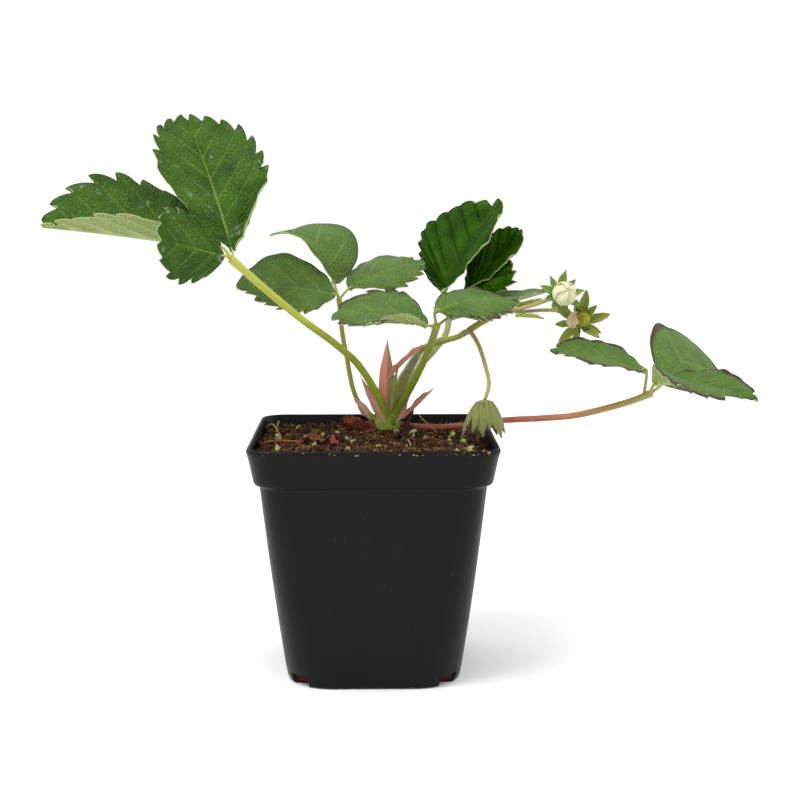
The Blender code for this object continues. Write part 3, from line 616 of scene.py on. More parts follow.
def blade(form, target, teeth, pleat=0.3, depth=0.15, thickness=LEAF_THICKNESS, blush=0.0,
          ribs=16, wave=0.5, finishes=(0, 1, 2), fringe=0, hair=3, first=0.4, sweep=0.9):
    """Add a toothed, veined blade to a target form. Marks hold the vein phase, the share
    out to the margin and the blush of the edge."""
    outlines = [margin(form, half) for half in ("right", "left")]
    toothed_run = np.mean([run[-1] - np.interp(first, station, run) for station, _, run in outlines])
    total_run = np.mean([run[-1] for _, _, run in outlines])
    most = max(teeth)
    phases = max(3, round(total_run / toothed_run * (most + 0.5))) if most else 6
    rows = phases * ROWS_PER_TOOTH
    phase = phases - np.arange(rows + 1) / ROWS_PER_TOOTH
    fraction = phase % 1
    wavy = np.where(fraction < NOTCH_PHASE, 1 - (fraction / NOTCH_PHASE) ** 2.1,
                    (np.maximum(fraction - NOTCH_PHASE, 0) / (1 - NOTCH_PHASE)) ** 0.8)
    halves, roots = [], []
    for station, line, run in outlines:
        wanted = run[-1] * (1 - phase / phases)
        edge = np.stack([np.interp(wanted, run, line[:, k]) for k in (0, 1)], 1)
        ahead = unit(np.gradient(edge, axis=0))
        edge_out = np.stack((-ahead[:, 1], ahead[:, 0]), 1)
        u = edge[:, 0] / form["length"]
        root = u - sweep * edge[:, 1] / form["length"] * np.minimum(1, 2 * u)
        halves.append((edge, edge_out))
        roots.append(np.maximum(root, 0.0))
    root = np.maximum.accumulate(np.mean(roots, 0)) * form["length"]
    sides = np.linspace(-1, 1, 2 * ribs + 1)
    sides = np.sign(sides) * np.abs(sides) ** 1.1
    along = np.zeros((rows + 1, len(sides)))
    across = np.zeros_like(along)
    for half, (edge, edge_out) in enumerate(halves):
        wing = form["left"] if half else form["right"]
        toothed = np.clip(teeth[half == 0] + 0.9 - phase, 0, 1) if teeth[half == 0] else 0 * phase
        cut = depth * wing * (1 - wavy) * toothed
        # tips lean forward over the notch in front of them
        lean = 0.7 * depth * wing * (wavy - 0.5) * toothed * np.clip(phase, 0, 1)
        forward = np.stack((edge_out[:, 1], -edge_out[:, 0]), 1)
        move = lean[:, None] * forward - cut[:, None] * edge_out
        for j, side in enumerate(sides):
            if (side > 0) != bool(half) and side != 0:
                continue
            s = abs(side)
            along[:, j] = root + (edge[:, 0] - root) * s + move[:, 0] * s ** 4
            across[:, j] = math.copysign(1, side) * (edge[:, 1] * s + move[:, 1] * s ** 4) if s else 0
    middle = bend_sheet(form, along, across)
    normal = unit(np.cross(np.gradient(middle, axis=0), np.gradient(middle, axis=1)))
    s = np.abs(sides)[None, :]
    p = phase[:, None]
    calm = np.where(sides >= 0, 1.0 if teeth[0] else 0.25, 1.0 if teeth[1] else 0.25)[None, :]
    envelope = calm * np.clip(s * 3, 0, 1) * np.clip((rows - np.arange(rows + 1)[:, None]) / 12, 0.15, 1)
    quilt = pleat * (np.abs(np.sin(math.pi * p)) ** 0.75 - 0.5) * envelope
    ripple = np.sin(math.pi * p * 0.55 + form["length"]) + 0.5 * np.sin(math.pi * p * 1.3 + 1.7)
    curl = wave * s ** 3 * ripple
    distance = np.abs(across)
    near_vein = np.abs((p + 0.5) % 1 - 0.5) * s
    taper = 1 - 0.6 * (along / form["length"])
    groove = 0.5 * taper * np.exp(-(distance / 0.9) ** 2) * (thickness / LEAF_THICKNESS)
    keel = (0.55 * taper * np.exp(-(distance / 0.6) ** 2)
            + 0.2 * taper * np.exp(-(near_vein / 0.06) ** 2)) * (thickness / LEAF_THICKNESS)
    mid = quilt + curl - groove
    upper = middle + normal * (mid + thickness / 2)[..., None]
    lower = middle + normal * (mid - thickness / 2 - keel * np.clip(1.2 - s, 0, 1))[..., None]
    n = len(sides)
    marks = np.stack((p + 0 * s, sides[None, :] + 0 * p, blush + 0 * p * s), -1).reshape(-1, 3)
    faces, under, rim = [], [], []
    shift = (rows + 1) * n
    for i in range(rows):
        for j in range(n - 1):
            a, b, c, d = i * n + j, (i + 1) * n + j, (i + 1) * n + j + 1, i * n + j + 1
            faces.append((a, b, c, d))
            under.append((d + shift, c + shift, b + shift, a + shift))
        for j, flip in ((0, True), (n - 1, False)):
            a, b = i * n + j, (i + 1) * n + j
            rim.append((a, a + shift, b + shift, b) if flip else (b, b + shift, a + shift, a))
    for i, flip in ((0, False), (rows, True)):
        for j in range(n - 1):
            a, b = i * n + j, i * n + j + 1
            rim.append((a, a + shift, b + shift, b) if flip else (b, b + shift, a + shift, a))
    start = target.count
    target.add(np.concatenate((upper.reshape(-1, 3), lower.reshape(-1, 3))), faces, finishes[0],
               np.concatenate((marks, marks)))
    for extra, finish in ((under, finishes[1]), (rim, finishes[2])):
        target.faces.extend(tuple(k + start for k in face) for face in extra)
        target.finishes.extend([finish] * len(extra))
    if fringe:
        row = rng.integers(0, rows, fringe)
        edge = np.where(rng.random(fringe) < 0.5, 0, n - 1)
        inner = np.where(edge == 0, 1, n - 2)
        out = unit(lower[row, edge] - lower[row, inner])
        forward = unit(lower[np.minimum(row + 1, rows), edge] - lower[row, edge])
        aim = out + 0.5 * forward - 0.25 * normal[row, edge] + 0.35 * rng.normal(size=(fringe, 3))
        target.add(*hairs(lower[row, edge], aim, rng.uniform(0.5, 1.1, fringe), 0.04), hair)


def hairs(roots, aims, lengths, thick):
    """Points and faces of tapering, slightly drooping hairs."""
    aims = unit(aims)
    side = unit(np.cross(aims, (0.3, 0.5, 0.81)))
    up = np.cross(aims, side)
    lengths = np.asarray(lengths)[:, None]
    sag = np.array((0, 0, -0.22)) * lengths
    groups = []
    for share, size in ((0.0, 1.0), (0.55, 0.7)):
        centre = roots + aims * lengths * share + sag * share ** 2
        for k in range(3):
            turn = 2 * math.pi * k / 3
            groups.append(centre + thick * size * (math.cos(turn) * side + math.sin(turn) * up))
    groups.append(roots + aims * lengths + sag)
    points = np.stack(groups, 1)
    faces = []
    for n in range(len(roots)):
        o = 7 * n
        for k in range(3):
            j = (k + 1) % 3
            faces.append((o + k, o + j, o + 3 + j, o + 3 + k))
            faces.append((o + 3 + k, o + 3 + j, o + 6))
        faces.append((o + 2, o + 1, o))
    return points.reshape(-1, 3), faces


def vein_lines(tree, marks, out, spread, side, middle, side_share, middle_share):
    """Side veins and midrib as lines; side and middle are where each line starts and ends."""
    away = add(tree, "Math", {0: marks[0], 1: 0.5}, operation="ADD")
    away = add(tree, "Math", {0: away}, operation="FRACT")
    away = add(tree, "Math", {0: away, 1: 0.5}, operation="SUBTRACT")
    away = add(tree, "Math", {0: away}, operation="ABSOLUTE")
    away = add(tree, "Math", {0: away, 1: spread}, operation="MULTIPLY")
    side_vein = add(tree, "MapRange", {0: away, 1: side[0], 2: side[1], 3: side_share, 4: 0.0})
    midrib = add(tree, "MapRange", {0: out, 1: middle[0], 2: middle[1], 3: middle_share, 4: 0.0})
    return side_vein, midrib


def leaf_top(name, deep, light, vein, vein_share, midrib_share, groove_shade_tint, groove_shade_share, bloom_sheen_tint, bloom_sheen_share,
             stain_share, gloss):
    """Upper skin of a leaf: satin green, paler along sunken veins, with small pillows between the
    veinlets darkened round their edges as painted shade, a grey bloomed cast that is partly painted sheen,
    dried water marks and a purple-brown edge."""
    made, tree, shader = new_material(name)
    marks = read_marks(tree)
    place = add(tree, "TexCoord", {}, "Object")
    out = add(tree, "Math", {0: marks[1]}, operation="ABSOLUTE")
    spread = add(tree, "Math", {0: out, 1: 0.4}, operation="MAXIMUM")
    side_vein, midrib = vein_lines(tree, marks, out, spread, (0.0, 0.03), (0.008, 0.03),
                                   vein_share, midrib_share)
    # the midrib fades towards the tip
    fade = add(tree, "MapRange", {0: marks[0], 1: 1.0, 2: 6.0, 3: 0.25, 4: 1.0})
    midrib = add(tree, "Math", {0: midrib, 1: fade}, operation="MULTIPLY")
    lines = add(tree, "Math", {0: side_vein, 1: midrib}, operation="MAXIMUM")
    warp = add(tree, "TexNoise", {"Vector": place, "Scale": 1 / (3 * MM), "Detail": 2.0}, "Color")
    bent = add(tree, "VectorMath", {0: warp, 1: (0.0008, 0.0008, 0.0008), 2: place},
               operation="MULTIPLY_ADD")
    net = add(tree, "TexVoronoi", {"Vector": bent, "Scale": 1 / (1.5 * MM)}, "Distance",
              feature="DISTANCE_TO_EDGE")
    net = add(tree, "MapRange", {0: net, 1: 0.0, 2: 0.34, 3: 1.0, 4: 0.0})
    cloud = add(tree, "TexNoise", {"Vector": place, "Scale": 1 / (9 * MM), "Detail": 4.0})
    fine = add(tree, "TexNoise", {"Vector": place, "Scale": 1 / (0.5 * MM), "Detail": 3.0})
    share = add(tree, "MapRange", {0: cloud, 1: 0.35, 2: 0.7, 3: 0.0, 4: 1.0})
    tint = add(tree, "Mix", {0: share, 6: rgb(deep), 7: rgb(light)}, 2, data_type="RGBA")
    # the grey cast is partly the leaf's waxy film and partly painted sheen of light glancing off the upper
    # face
    bloom_and_sheen = add(tree, "MapRange", {0: fine, 1: 0.3, 2: 0.7, 3: 0.5 * bloom_sheen_share, 4: bloom_sheen_share})
    tint = add(tree, "Mix", {0: bloom_and_sheen, 6: tint, 7: rgb(bloom_sheen_tint)}, 2, data_type="RGBA")
    # the sunken veinlets are darkened: painted shade in their grooves round the pillows
    painted_groove_shade = add(tree, "Math", {0: net, 1: groove_shade_share}, operation="MULTIPLY")
    tint = add(tree, "Mix", {0: painted_groove_shade, 6: tint, 7: rgb(groove_shade_tint)}, 2, data_type="RGBA")
    tint = add(tree, "Mix", {0: lines, 6: tint, 7: rgb(vein)}, 2, data_type="RGBA")
    blotch = add(tree, "TexNoise", {"Vector": place, "Scale": 1 / (5 * MM), "Detail": 5.0,
                                    "Roughness": 0.65})
    blotch = add(tree, "MapRange", {0: blotch, 1: 0.62, 2: 0.7, 3: 0.0, 4: stain_share})
    tint = add(tree, "Mix", {0: blotch, 6: tint, 7: rgb("#93a58a")}, 2, data_type="RGBA")
    ragged = add(tree, "Math", {0: cloud, 1: 0.16, 2: out}, operation="MULTIPLY_ADD")
    edge = add(tree, "MapRange", {0: ragged, 1: 0.9, 2: 1.01, 3: 0.0, 4: 0.9})
    edge = add(tree, "Math", {0: edge, 1: marks[2]}, operation="MULTIPLY")
    tint = add(tree, "Mix", {0: edge, 6: tint, 7: rgb("#43292f")}, 2, data_type="RGBA")
    height = add(tree, "Math", {0: lines, 1: -1.2, 2: fine}, operation="MULTIPLY_ADD")
    height = add(tree, "Math", {0: net, 1: -1.6, 2: height}, operation="MULTIPLY_ADD")
    relief = add(tree, "Bump", {"Height": height, "Strength": 0.9, "Distance": 0.3 * MM})
    rough = add(tree, "MapRange", {0: fine, 1: 0.3, 2: 0.7, 3: 0.4, 4: 0.54})
    feed(tree, shader, {"Base Color": tint, "Roughness": rough, "Normal": relief,
                        "Specular IOR Level": gloss})
    return made


dark_top = leaf_top("dark_leaf_upper_skin", "#2c4a0a", "#486c1c", "#84a043", 0.3, 0.9, "#18340a", 0.4,
                    "#5f7c44", 0.14, 0.5, 0.1)
# the upright young leaf gets darker greens, and veins darker than its blade: painted shade inside the fan
# and in its pleat creases
shaded_fan_top = leaf_top("shaded_young_leaf_upper_skin", "#1e3e00", "#345c04", "#122c00", 0.6, 0.4, "#122c00", 0.3,
                   "#335818", 0.03, 0, 0.04)
# the leaves that face up get paler greens: painted light of the sky on their upper faces
sky_lit_grey_top = leaf_top("sky_lit_bloomed_leaf_upper_skin", "#3a5a1c", "#527428", "#8aa44c", 0.26, 0.5, "#2a4a18", 0.28,
                    "#768c50", 0.38, 0.06, 0.08)


# underside: pale grey-green under silky down, ribbed by raised veins
leaf_under, tree, shader = new_material("downy_leaf_underside")
marks = read_marks(tree)
place = add(tree, "TexCoord", {}, "Object")
out = add(tree, "Math", {0: marks[1]}, operation="ABSOLUTE")
side_vein, midrib = vein_lines(tree, marks, out, out, (0.004, 0.05), (0.01, 0.05), 0.9, 1.0)
lines = add(tree, "Math", {0: side_vein, 1: midrib}, operation="MAXIMUM")
net = add(tree, "TexVoronoi", {"Vector": place, "Scale": 1 / (1.5 * MM)}, "Distance",
          feature="DISTANCE_TO_EDGE")
net = add(tree, "MapRange", {0: net, 1: 0.0, 2: 0.2, 3: 0.6, 4: 0.0})
down = add(tree, "TexNoise", {"Vector": place, "Scale": 1 / (0.35 * MM), "Detail": 4.0})
tint = add(tree, "Mix", {0: down, 6: rgb("#64783e"), 7: rgb("#86965a")}, 2, data_type="RGBA")
paler = add(tree, "Math", {0: lines, 1: net}, operation="MAXIMUM")
tint = add(tree, "Mix", {0: paler, 6: tint, 7: rgb("#a3ab70")}, 2, data_type="RGBA")
height = add(tree, "Math", {0: paler, 1: 1.5, 2: down}, operation="MULTIPLY_ADD")
relief = add(tree, "Bump", {"Height": height, "Strength": 0.6, "Distance": 0.15 * MM})
feed(tree, shader, {"Base Color": tint, "Roughness": 0.75, "Normal": relief, "Specular IOR Level": 0.1,
                    "Sheen Weight": 0.08, "Sheen Roughness": 0.5})

# cut edge of the blade: pale where the leaf is green, purple-brown where it is blushed
leaf_rim, tree, shader = new_material("leaf_margin")
marks = read_marks(tree)
place = add(tree, "TexCoord", {}, "Object")
cloud = add(tree, "TexNoise", {"Vector": place, "Scale": 1 / (2 * MM), "Detail": 3.0})
share = add(tree, "Math", {0: cloud, 1: marks[2]}, operation="MULTIPLY")
share = add(tree, "MapRange", {0: share, 1: 0.2, 2: 0.5, 3: 0.0, 4: 0.9})
tint = add(tree, "Mix", {0: share, 6: rgb("#8c9c5c"), 7: rgb("#5a3c3c")}, 2, data_type="RGBA")
feed(tree, shader, {"Base Color": tint, "Roughness": 0.6})

# silky hairs: white and slightly glossy, drawn 0.08 mm thick so that they show
silk, tree, shader = new_material("silky_plant_hair")
place = add(tree, "TexCoord", {}, "Object")
cloud = add(tree, "TexNoise", {"Vector": place, "Scale": 1 / (2 * MM), "Detail": 2.0})
tint = add(tree, "Mix", {0: cloud, 6: rgb("#c9cfae"), 7: rgb("#eef0e2")}, 2, data_type="RGBA")
feed(tree, shader, {"Base Color": tint, "Roughness": 0.45, "Sheen Weight": 0.2})

blades = {}
for name, row in LEAFLETS.items():
    leaf = name[:5]
    pleat, blush, sweep = LEAF_STATE[leaf]
    habit = HABIT[name]
    target = Form()
    blades[name] = shaped(row, habit[2:4], LIFTED.get(name, (0, 0)))
    blade(blades[name], target, habit[:2], pleat, depth=habit[5], blush=blush, fringe=260, first=habit[4],
          sweep=sweep)
    top = {"leaf1": dark_top, "leaf4": shaded_fan_top}.get(leaf, sky_lit_grey_top)
    piece(name, target, [top, leaf_under, leaf_rim, silk])


# --------------------------------------------------------------------- Petioles
# The five leaf stalks: solid, juicy, slightly ribbed and softly hairy, with a papery
# sheath clasping the foot and three short stalklets at the top that hold the leaflets.
PETIOLES = {
    "leaf1_petiole": ((5.4, 14.6, 87.6), (4.4, 13.5, 91.8), (2.9, 12.5, 97.7), (-0.1, 11.5, 104.0),
                      (-3.9, 10.0, 110.2), (-8.0, 8.0, 115.4), (-16.0, 3.0, 122.7), (-26.8, -3.0, 131.4),
                      (-39, -9, 142.4), (-50.4, -14.0, 153.2)),
    "leaf2_petiole": ((3.2, 16.8, 87.0), (1.8, 17.0, 89.4), (-2.1, 18.0, 93.5), (-5.9, 19.0, 97.6),
                      (-8.2, 20, 103.7), (-10.3, 21, 115), (-12.0, 22, 124.7), (-13, 22, 136.6)),
    "leaf3_petiole": ((6, 14.6, 87.4), (7.2, 13.4, 90.4), (9.3, 12.2, 95.8), (13.1, 10, 102.2),
                      (16.4, 7.0, 109.0), (20.2, 2, 118.2), (22.3, -3, 125), (23, -6.5, 128.6)),
    "leaf4_petiole": ((5.8, 18.2, 89), (7.0, 19.2, 92.4), (9.4, 20.0, 96.0), (12.8, 21, 101.0),
                      (18.0, 22, 110.5), (23.6, 22.0, 117), (28.2, 22, 124), (29.4, 22.5, 134.4)),
    "leaf5_petiole": ((8, 18.5, 87.4), (11.0, 19.0, 88.0), (22, 15, 87.9), (35, 10, 89.4), (48, 5, 92),
                      (62, -3, 94), (73, -10, 96), (82, -16, 99), (91, -24, 103), (97.5, -29.5, 106.6)),
}
# radius at the foot and at the top
PETIOLE_RADII = {"leaf1": (2.1, 1.35), "leaf2": (1.5, 0.9), "leaf3": (2.3, 1.35), "leaf4": (1.3, 1.2),
                 "leaf5": (1.15, 1.15)}


def stalk_material(name, foot, middle, top, vary):
    """Living stalk: satin, streaked lengthwise, with its colour changing from foot to top."""
    made, tree, shader = new_material(name)
    marks = read_marks(tree)
    place = add(tree, "TexCoord", {}, "Object")
    low = add(tree, "MapRange", {0: marks[0], 1: 0.0, 2: 0.35, 3: 0.0, 4: 1.0})
    high = add(tree, "MapRange", {0: marks[0], 1: 0.5, 2: 0.95, 3: 0.0, 4: 1.0})
    tint = add(tree, "Mix", {0: low, 6: rgb(foot), 7: rgb(middle)}, 2, data_type="RGBA")
    tint = add(tree, "Mix", {0: high, 6: tint, 7: rgb(top)}, 2, data_type="RGBA")
    streak = add(tree, "CombineXYZ", {0: marks[0], 1: marks[1]})
    streak = add(tree, "Mapping", {"Vector": streak, "Scale": (12.0, 5.0, 1.0)})
    streak = add(tree, "TexNoise", {"Vector": streak, "Scale": 1.6, "Detail": 4.0})
    cloud = add(tree, "TexNoise", {"Vector": place, "Scale": 1 / (2.5 * MM), "Detail": 4.0})
    shade = add(tree, "MapRange", {0: streak, 1: 0.3, 2: 0.7, 3: 1 - vary, 4: 1 + vary})
    tint = add(tree, "VectorMath", {0: tint, "Scale": shade}, operation="SCALE")
    both = add(tree, "Math", {0: streak, 1: cloud}, operation="ADD")
    relief = add(tree, "Bump", {"Height": both, "Strength": 0.4, "Distance": 0.12 * MM})
    rough = add(tree, "MapRange", {0: cloud, 1: 0.3, 2: 0.7, 3: 0.38, 4: 0.55})
    feed(tree, shader, {"Base Color": tint, "Roughness": rough, "Normal": relief,
                        "Specular IOR Level": 0.22})
    return made


def stalk(target, route, radii, hair_per_mm=6.0, hair_length=(0.7, 1.5), around=14, ribs=0.03, lean=0.35,
          colour_from=0.0, silk_finish=1):
    """Add a stalk with its down of hairs, leaning up the stalk, to a target form. Its colour
    runs from a share of the whole stalk's length to the top."""
    points, faces, marks, outs = tube(route, radii, around, ribs)
    marks[:, 0] = colour_from + (1 - colour_from) * marks[:, 0]
    target.add(points, faces, 0, marks)
    run = np.linalg.norm(np.diff(route, axis=0), axis=1).sum()
    count = int(run * hair_per_mm)
    if count:
        pick = rng.integers(around, len(points) - around, count)
        ahead = unit(np.gradient(route, axis=0))[pick // around]
        aims = outs[pick] + lean * ahead + 0.3 * rng.normal(size=(count, 3))
        target.add(*hairs(points[pick], aims, rng.uniform(*hair_length, count), 0.04), silk_finish)


def lengthwise(tree, marks, fine, scale, detail):
    """Parallel veins along a small blade, from its marks: fine is their count across and along."""
    place = add(tree, "CombineXYZ", {0: marks[1], 1: marks[0]})
    place = add(tree, "Mapping", {"Vector": place, "Scale": (*fine, 1.0)})
    return add(tree, "TexNoise", {"Vector": place, "Scale": scale, "Detail": detail})


papery, tree, shader = new_material("papery_pink_sheath")
marks = read_marks(tree)
place = add(tree, "TexCoord", {}, "Object")
stripes = lengthwise(tree, marks, (7.0, 0.35), 2.2, 4.0)
cloud = add(tree, "TexNoise", {"Vector": place, "Scale": 1 / (4 * MM), "Detail": 3.0})
tint = add(tree, "Mix", {0: stripes, 6: rgb("#a8685a"), 7: rgb("#dba493")}, 2, data_type="RGBA")
tan = add(tree, "MapRange", {0: cloud, 1: 0.4, 2: 0.65, 3: 0.0, 4: 0.75})
tint = add(tree, "Mix", {0: tan, 6: tint, 7: rgb("#b98a68")}, 2, data_type="RGBA")
greener = add(tree, "MapRange", {0: marks[0], 1: 3.4, 2: 5.6, 3: 0.0, 4: 0.8})
tint = add(tree, "Mix", {0: greener, 6: tint, 7: rgb("#7d8a2e")}, 2, data_type="RGBA")
relief = add(tree, "Bump", {"Height": stripes, "Strength": 0.6, "Distance": 0.12 * MM})
feed(tree, shader, {"Base Color": tint, "Roughness": 0.5, "Normal": relief, "Sheen Weight": 0.15})

lime_skin = stalk_material("lime_leaf_stalk", "#76861c", "#929e2c", "#a8ac44", 0.14)
olive_skin = stalk_material("olive_leaf_stalk", "#86842c", "#8c8c36", "#95923c", 0.14)
green_skin = stalk_material("green_leaf_stalk", "#56700c", "#7a8c20", "#94994c", 0.16)
pale_skin = stalk_material("silky_pale_leaf_stalk", "#8c9648", "#a2a468", "#a8aa78", 0.12)
red_skin = stalk_material("reddened_leaf_stalk", "#7e4032", "#a86450", "#98904a", 0.16)
SKINS = {"leaf1": lime_skin, "leaf2": olive_skin, "leaf3": green_skin, "leaf4": pale_skin,
         "leaf5": red_skin}
# sheath wings on the foot of a stalk: the same thin blades as the leaflets, without teeth
SHEATHS = {
    "leaf1": (((4.6, 11.6, 89.6), 176, 62, 84, 21, 2.3, 2.0, 20, 20, -8, 0, 0, 0.35),
              ((3.4, 12.0, 89.0), 168, 76, 70, 15, 2.2, 1.8, 25, 25, 6, 0, 0, 0.4)),
    "leaf2": (((-0.6, 17.0, 90.4), 176, 50, 74, 11, 1.9, 2.2, 25, 25, -14, 0, 0, 0.45),),
    "leaf3": (((8.4, 11.6, 90), 24, 60, 66, 12, 1.7, 1.5, 25, 25, -6, 0, 0, 0.35),),
    "leaf4": (), "leaf5": (),
}
for name, places in PETIOLES.items():
    leaf = name[:5]
    target = Form()
    route = smooth_route(places, 9)
    low, high = PETIOLE_RADII[leaf]
    share = np.linspace(0, 1, len(route))
    radii = high + (low - high) * np.exp(-(share / 0.16) ** 2) + 0.2 * np.exp(-((1 - share) / 0.03) ** 2)
    top = route[-1]
    forward = unit(route[-1] - route[-4])
    # the end is rounded off
    route = np.vstack((route, [top + forward * step * high for step in (0.3, 0.55, 0.7)]))
    radii = np.append(radii, radii[-1] * np.array((0.9, 0.65, 0.25)))
    stalk(target, route, radii, 12 if leaf == "leaf4" else 6)
    for part in ("left", "middle", "right"):
        held = blades[f"{leaf}_leaflet_{part}"]
        seat = bend_sheet(held, np.array(1.0), np.array(0.0))
        heading = held["axes"][0]
        start = route[-8] if leaf == "leaf5" and part == "left" else top - forward * 1.2
        inner = seat + heading * 1.4 - held["axes"][2] * 0.5
        bridge = smooth_route((start, start + forward * 1.0, seat - heading * 0.8, inner), 6)
        count = len(bridge)
        stalk(target, bridge, np.linspace(min(high, 1.1) * 0.72, 0.3, count), 8, (0.5, 1.1), 10,
              colour_from=1.0)
    for row in SHEATHS[leaf]:
        blade(shaped(row), target, (0, 0), pleat=0.1, depth=0, thickness=0.22, ribs=6, wave=0.25,
              finishes=(2, 2, 2))
    piece(name, target, [SKINS[leaf], silk, papery])


# --------------------------------------------------------------- Loose stipules
# Papery scales that sheathed the stalks when they were buds: thin, dry and pink, with
# parallel veins and one green side.
STIPULES = {
    "stipule_upright": ((5.0, 14.6, 89.4), -100, 86, 0, 33, 3.2, 3.2, 16, 8, -4, 2, 0, 0.40),
    "stipule_leaning": ((5.4, 12.6, 107.6), -8, 48, 0, 18.5, 2.0, 2.4, 30, 30, 10, 0, 0, (0.45, 0.5)),
    "stipule_spike": ((6.6, 10.6, 96.0), -30, 78, 0, 16.5, 1.1, 1.1, 30, 30, -6, 0, 0, 0.40),
    "stipule_right": ((10.4, 12.6, 92.0), 0, 40, 0, 16.6, 2.6, 2.0, 20, 15, -6, 0, 0, 0.50),
}
rosy, tree, shader = new_material("papery_pink_stipule")
marks = read_marks(tree)
stripes = lengthwise(tree, marks, (6.0, 0.3), 2.0, 4.0)
tint = add(tree, "Mix", {0: stripes, 6: rgb("#cf4e60"), 7: rgb("#e6b494")}, 2, data_type="RGBA")
green_side = add(tree, "Math", {0: marks[0], 1: 0.1, 2: marks[1]}, operation="MULTIPLY_ADD")
green_side = add(tree, "MapRange", {0: green_side, 1: 0.3, 2: 0.85, 3: 0.0, 4: 0.95})
tint = add(tree, "Mix", {0: green_side, 6: tint, 7: rgb("#8a9636")}, 2, data_type="RGBA")
relief = add(tree, "Bump", {"Height": stripes, "Strength": 0.6, "Distance": 0.12 * MM})
feed(tree, shader, {"Base Color": tint, "Roughness": 0.45, "Normal": relief, "Sheen Weight": 0.15})
for name, row in STIPULES.items():
    target = Form()
    blade(shaped(row), target, (0, 0), pleat=0.12, depth=0, thickness=0.24, ribs=7, wave=0.3,
          finishes=(0, 0, 0), fringe=60, hair=1)
    skin = strand_material("browned_stipule", "#5a4a1c", "#8d8a3c") if name == "stipule_spike" else rosy
    piece(name, target, [skin, silk])


# ------------------------------------------------------------------- Dry litter
# What has died back round the crown: crumpled rust-red scraps of leaf, a bit of dry
# stem and a dark stub of an old stalk. All brittle, matt and curled as they dried.
rust = strand_material("rust_red_dead_leaf", "#2c120a", "#6e3620")
dead_stem = strand_material("dry_red_stem", "#4c2418", "#865038")
dark_stub = strand_material("blackened_old_stalk", "#24120c", "#4a2a1c")
SCRAPS = {
    "dry_scrap_crown": ((1.2, 9.8, 87.0), 152, 14, 16, 15, 5, 5.4, 35, 14, 24, 10, 30, 0.5),
    "dry_scrap_soil": ((-12.5, -16, 86.8), 155, 5, 0, 16, 4, 4, 32, 24, 12, 10, -20, 0.5),
    "dry_scrap_left": ((-4.0, 21.0, 87.6), 175, 18, -10, 10, 3, 3.2, 30, 30, 24, 0, 20, 0.5),
}
CRUMPLE_SEED = 5                # without a seed this noise follows the clock and changes each run
noise.seed_set(CRUMPLE_SEED)
for name, row in SCRAPS.items():
    target = Form()
    blade(shaped(row), target, (4, 4), pleat=0.5, depth=0.3, thickness=0.2, ribs=9, wave=1.3,
          finishes=(0, 0, 0))
    for points in target.points:
        # crumple: the sheet is pushed about by a coarse noise
        for point in points:
            push = noise.noise_vector(Vector(point) / 2.6)
            point += np.array(push) * 0.9
    piece(name, target, [rust])
for name, places, low, high, skin in (
        ("dry_stem", ((-39, -12, 86.6), (-35, -12.8, 87.4), (-30, -12.9, 87.2), (-25.5, -12.5, 87.0)), 0.6,
         0.4, dead_stem),
        ("dry_stalk_stub", ((11.2, 12.8, 86.0), (12.4, 13.6, 88.6), (13.6, 14.4, 91.6), (15.0, 15.4, 94.8)),
         1.2, 0.6, dark_stub)):
    target = Form()
    route = smooth_route(places, 6)
    points, faces, marks, _ = tube(route, np.linspace(low, high, len(route)), 10, 0.12)
    target.add(points + 0.1 * rng.normal(size=points.shape), faces, 0, marks)
    piece(name, target, [skin])


# ------------------------------------------------------------- Truss of flowers
# One flower stalk, thick and silky where it leaves the crown, which forks into short
# stalks for a bud, a spent flower and a hanging young fruit. Two bracts mark the fork.
PEDUNCLE = ((6.2, 16.4, 88.0), (6.8, 16.8, 92.0), (8.2, 17.0, 97.4), (11.4, 16.4, 105.4), (15.2, 15.6, 113),
            (19.4, 14.0, 118.6), (25.6, 11, 121.4), (32.6, 7, 123.8), (42, 1.5, 130.2), (50.6, -5.6, 134.8))
PEDICELS = {
    "pedicel_hanging": (((32.4, 7.0, 124.0), (34.6, 5.0, 125.6), (36.6, 1.6, 125.0), (39, -4, 120.6),
                         (41, -8, 114), (42, -12, 108), (40.3, -15, 102.6)), 0.85, 0.66),
    "pedicel_bud": (((50.0, -5.6, 134.0), (53.0, -8.4, 135.0), (58, -12, 136.8), (65.4, -16.2, 140.0)),
                    0.62, 0.75),
    "pedicel_spent": (((50.2, -5.2, 134.0), (54, -5.6, 133.8), (62, -7, 134.4), (67, -7.4, 134.2),
                       (74.6, -9.2, 131.8)), 0.62, 0.7),
}
truss_skin = stalk_material("silky_flower_stalk", "#98a25c", "#8f9648", "#8a8c34", 0.14)
hanging_skin = stalk_material("thin_hanging_stalk", "#8c8a44", "#a09058", "#94964e", 0.12)
target = Form()
route = smooth_route(PEDUNCLE, 9)
share = np.linspace(0, 1, len(route))
radii = 0.95 + 1.5 * np.exp(-((share - 0.25) / 0.15) ** 2) + 0.35 * np.exp(-((share - 0.66) / 0.04) ** 2)
stalk(target, route, radii, 14, (0.8, 1.6), 20, 0.07, 0.8)
# the swollen lower half wears a second, flatter coat of silk
silky_part = len(route) // 2
stalk(target, route[:silky_part], radii[:silky_part] * 1.02, 80, (1.4, 2.8), 20, 0.07, 2.2)
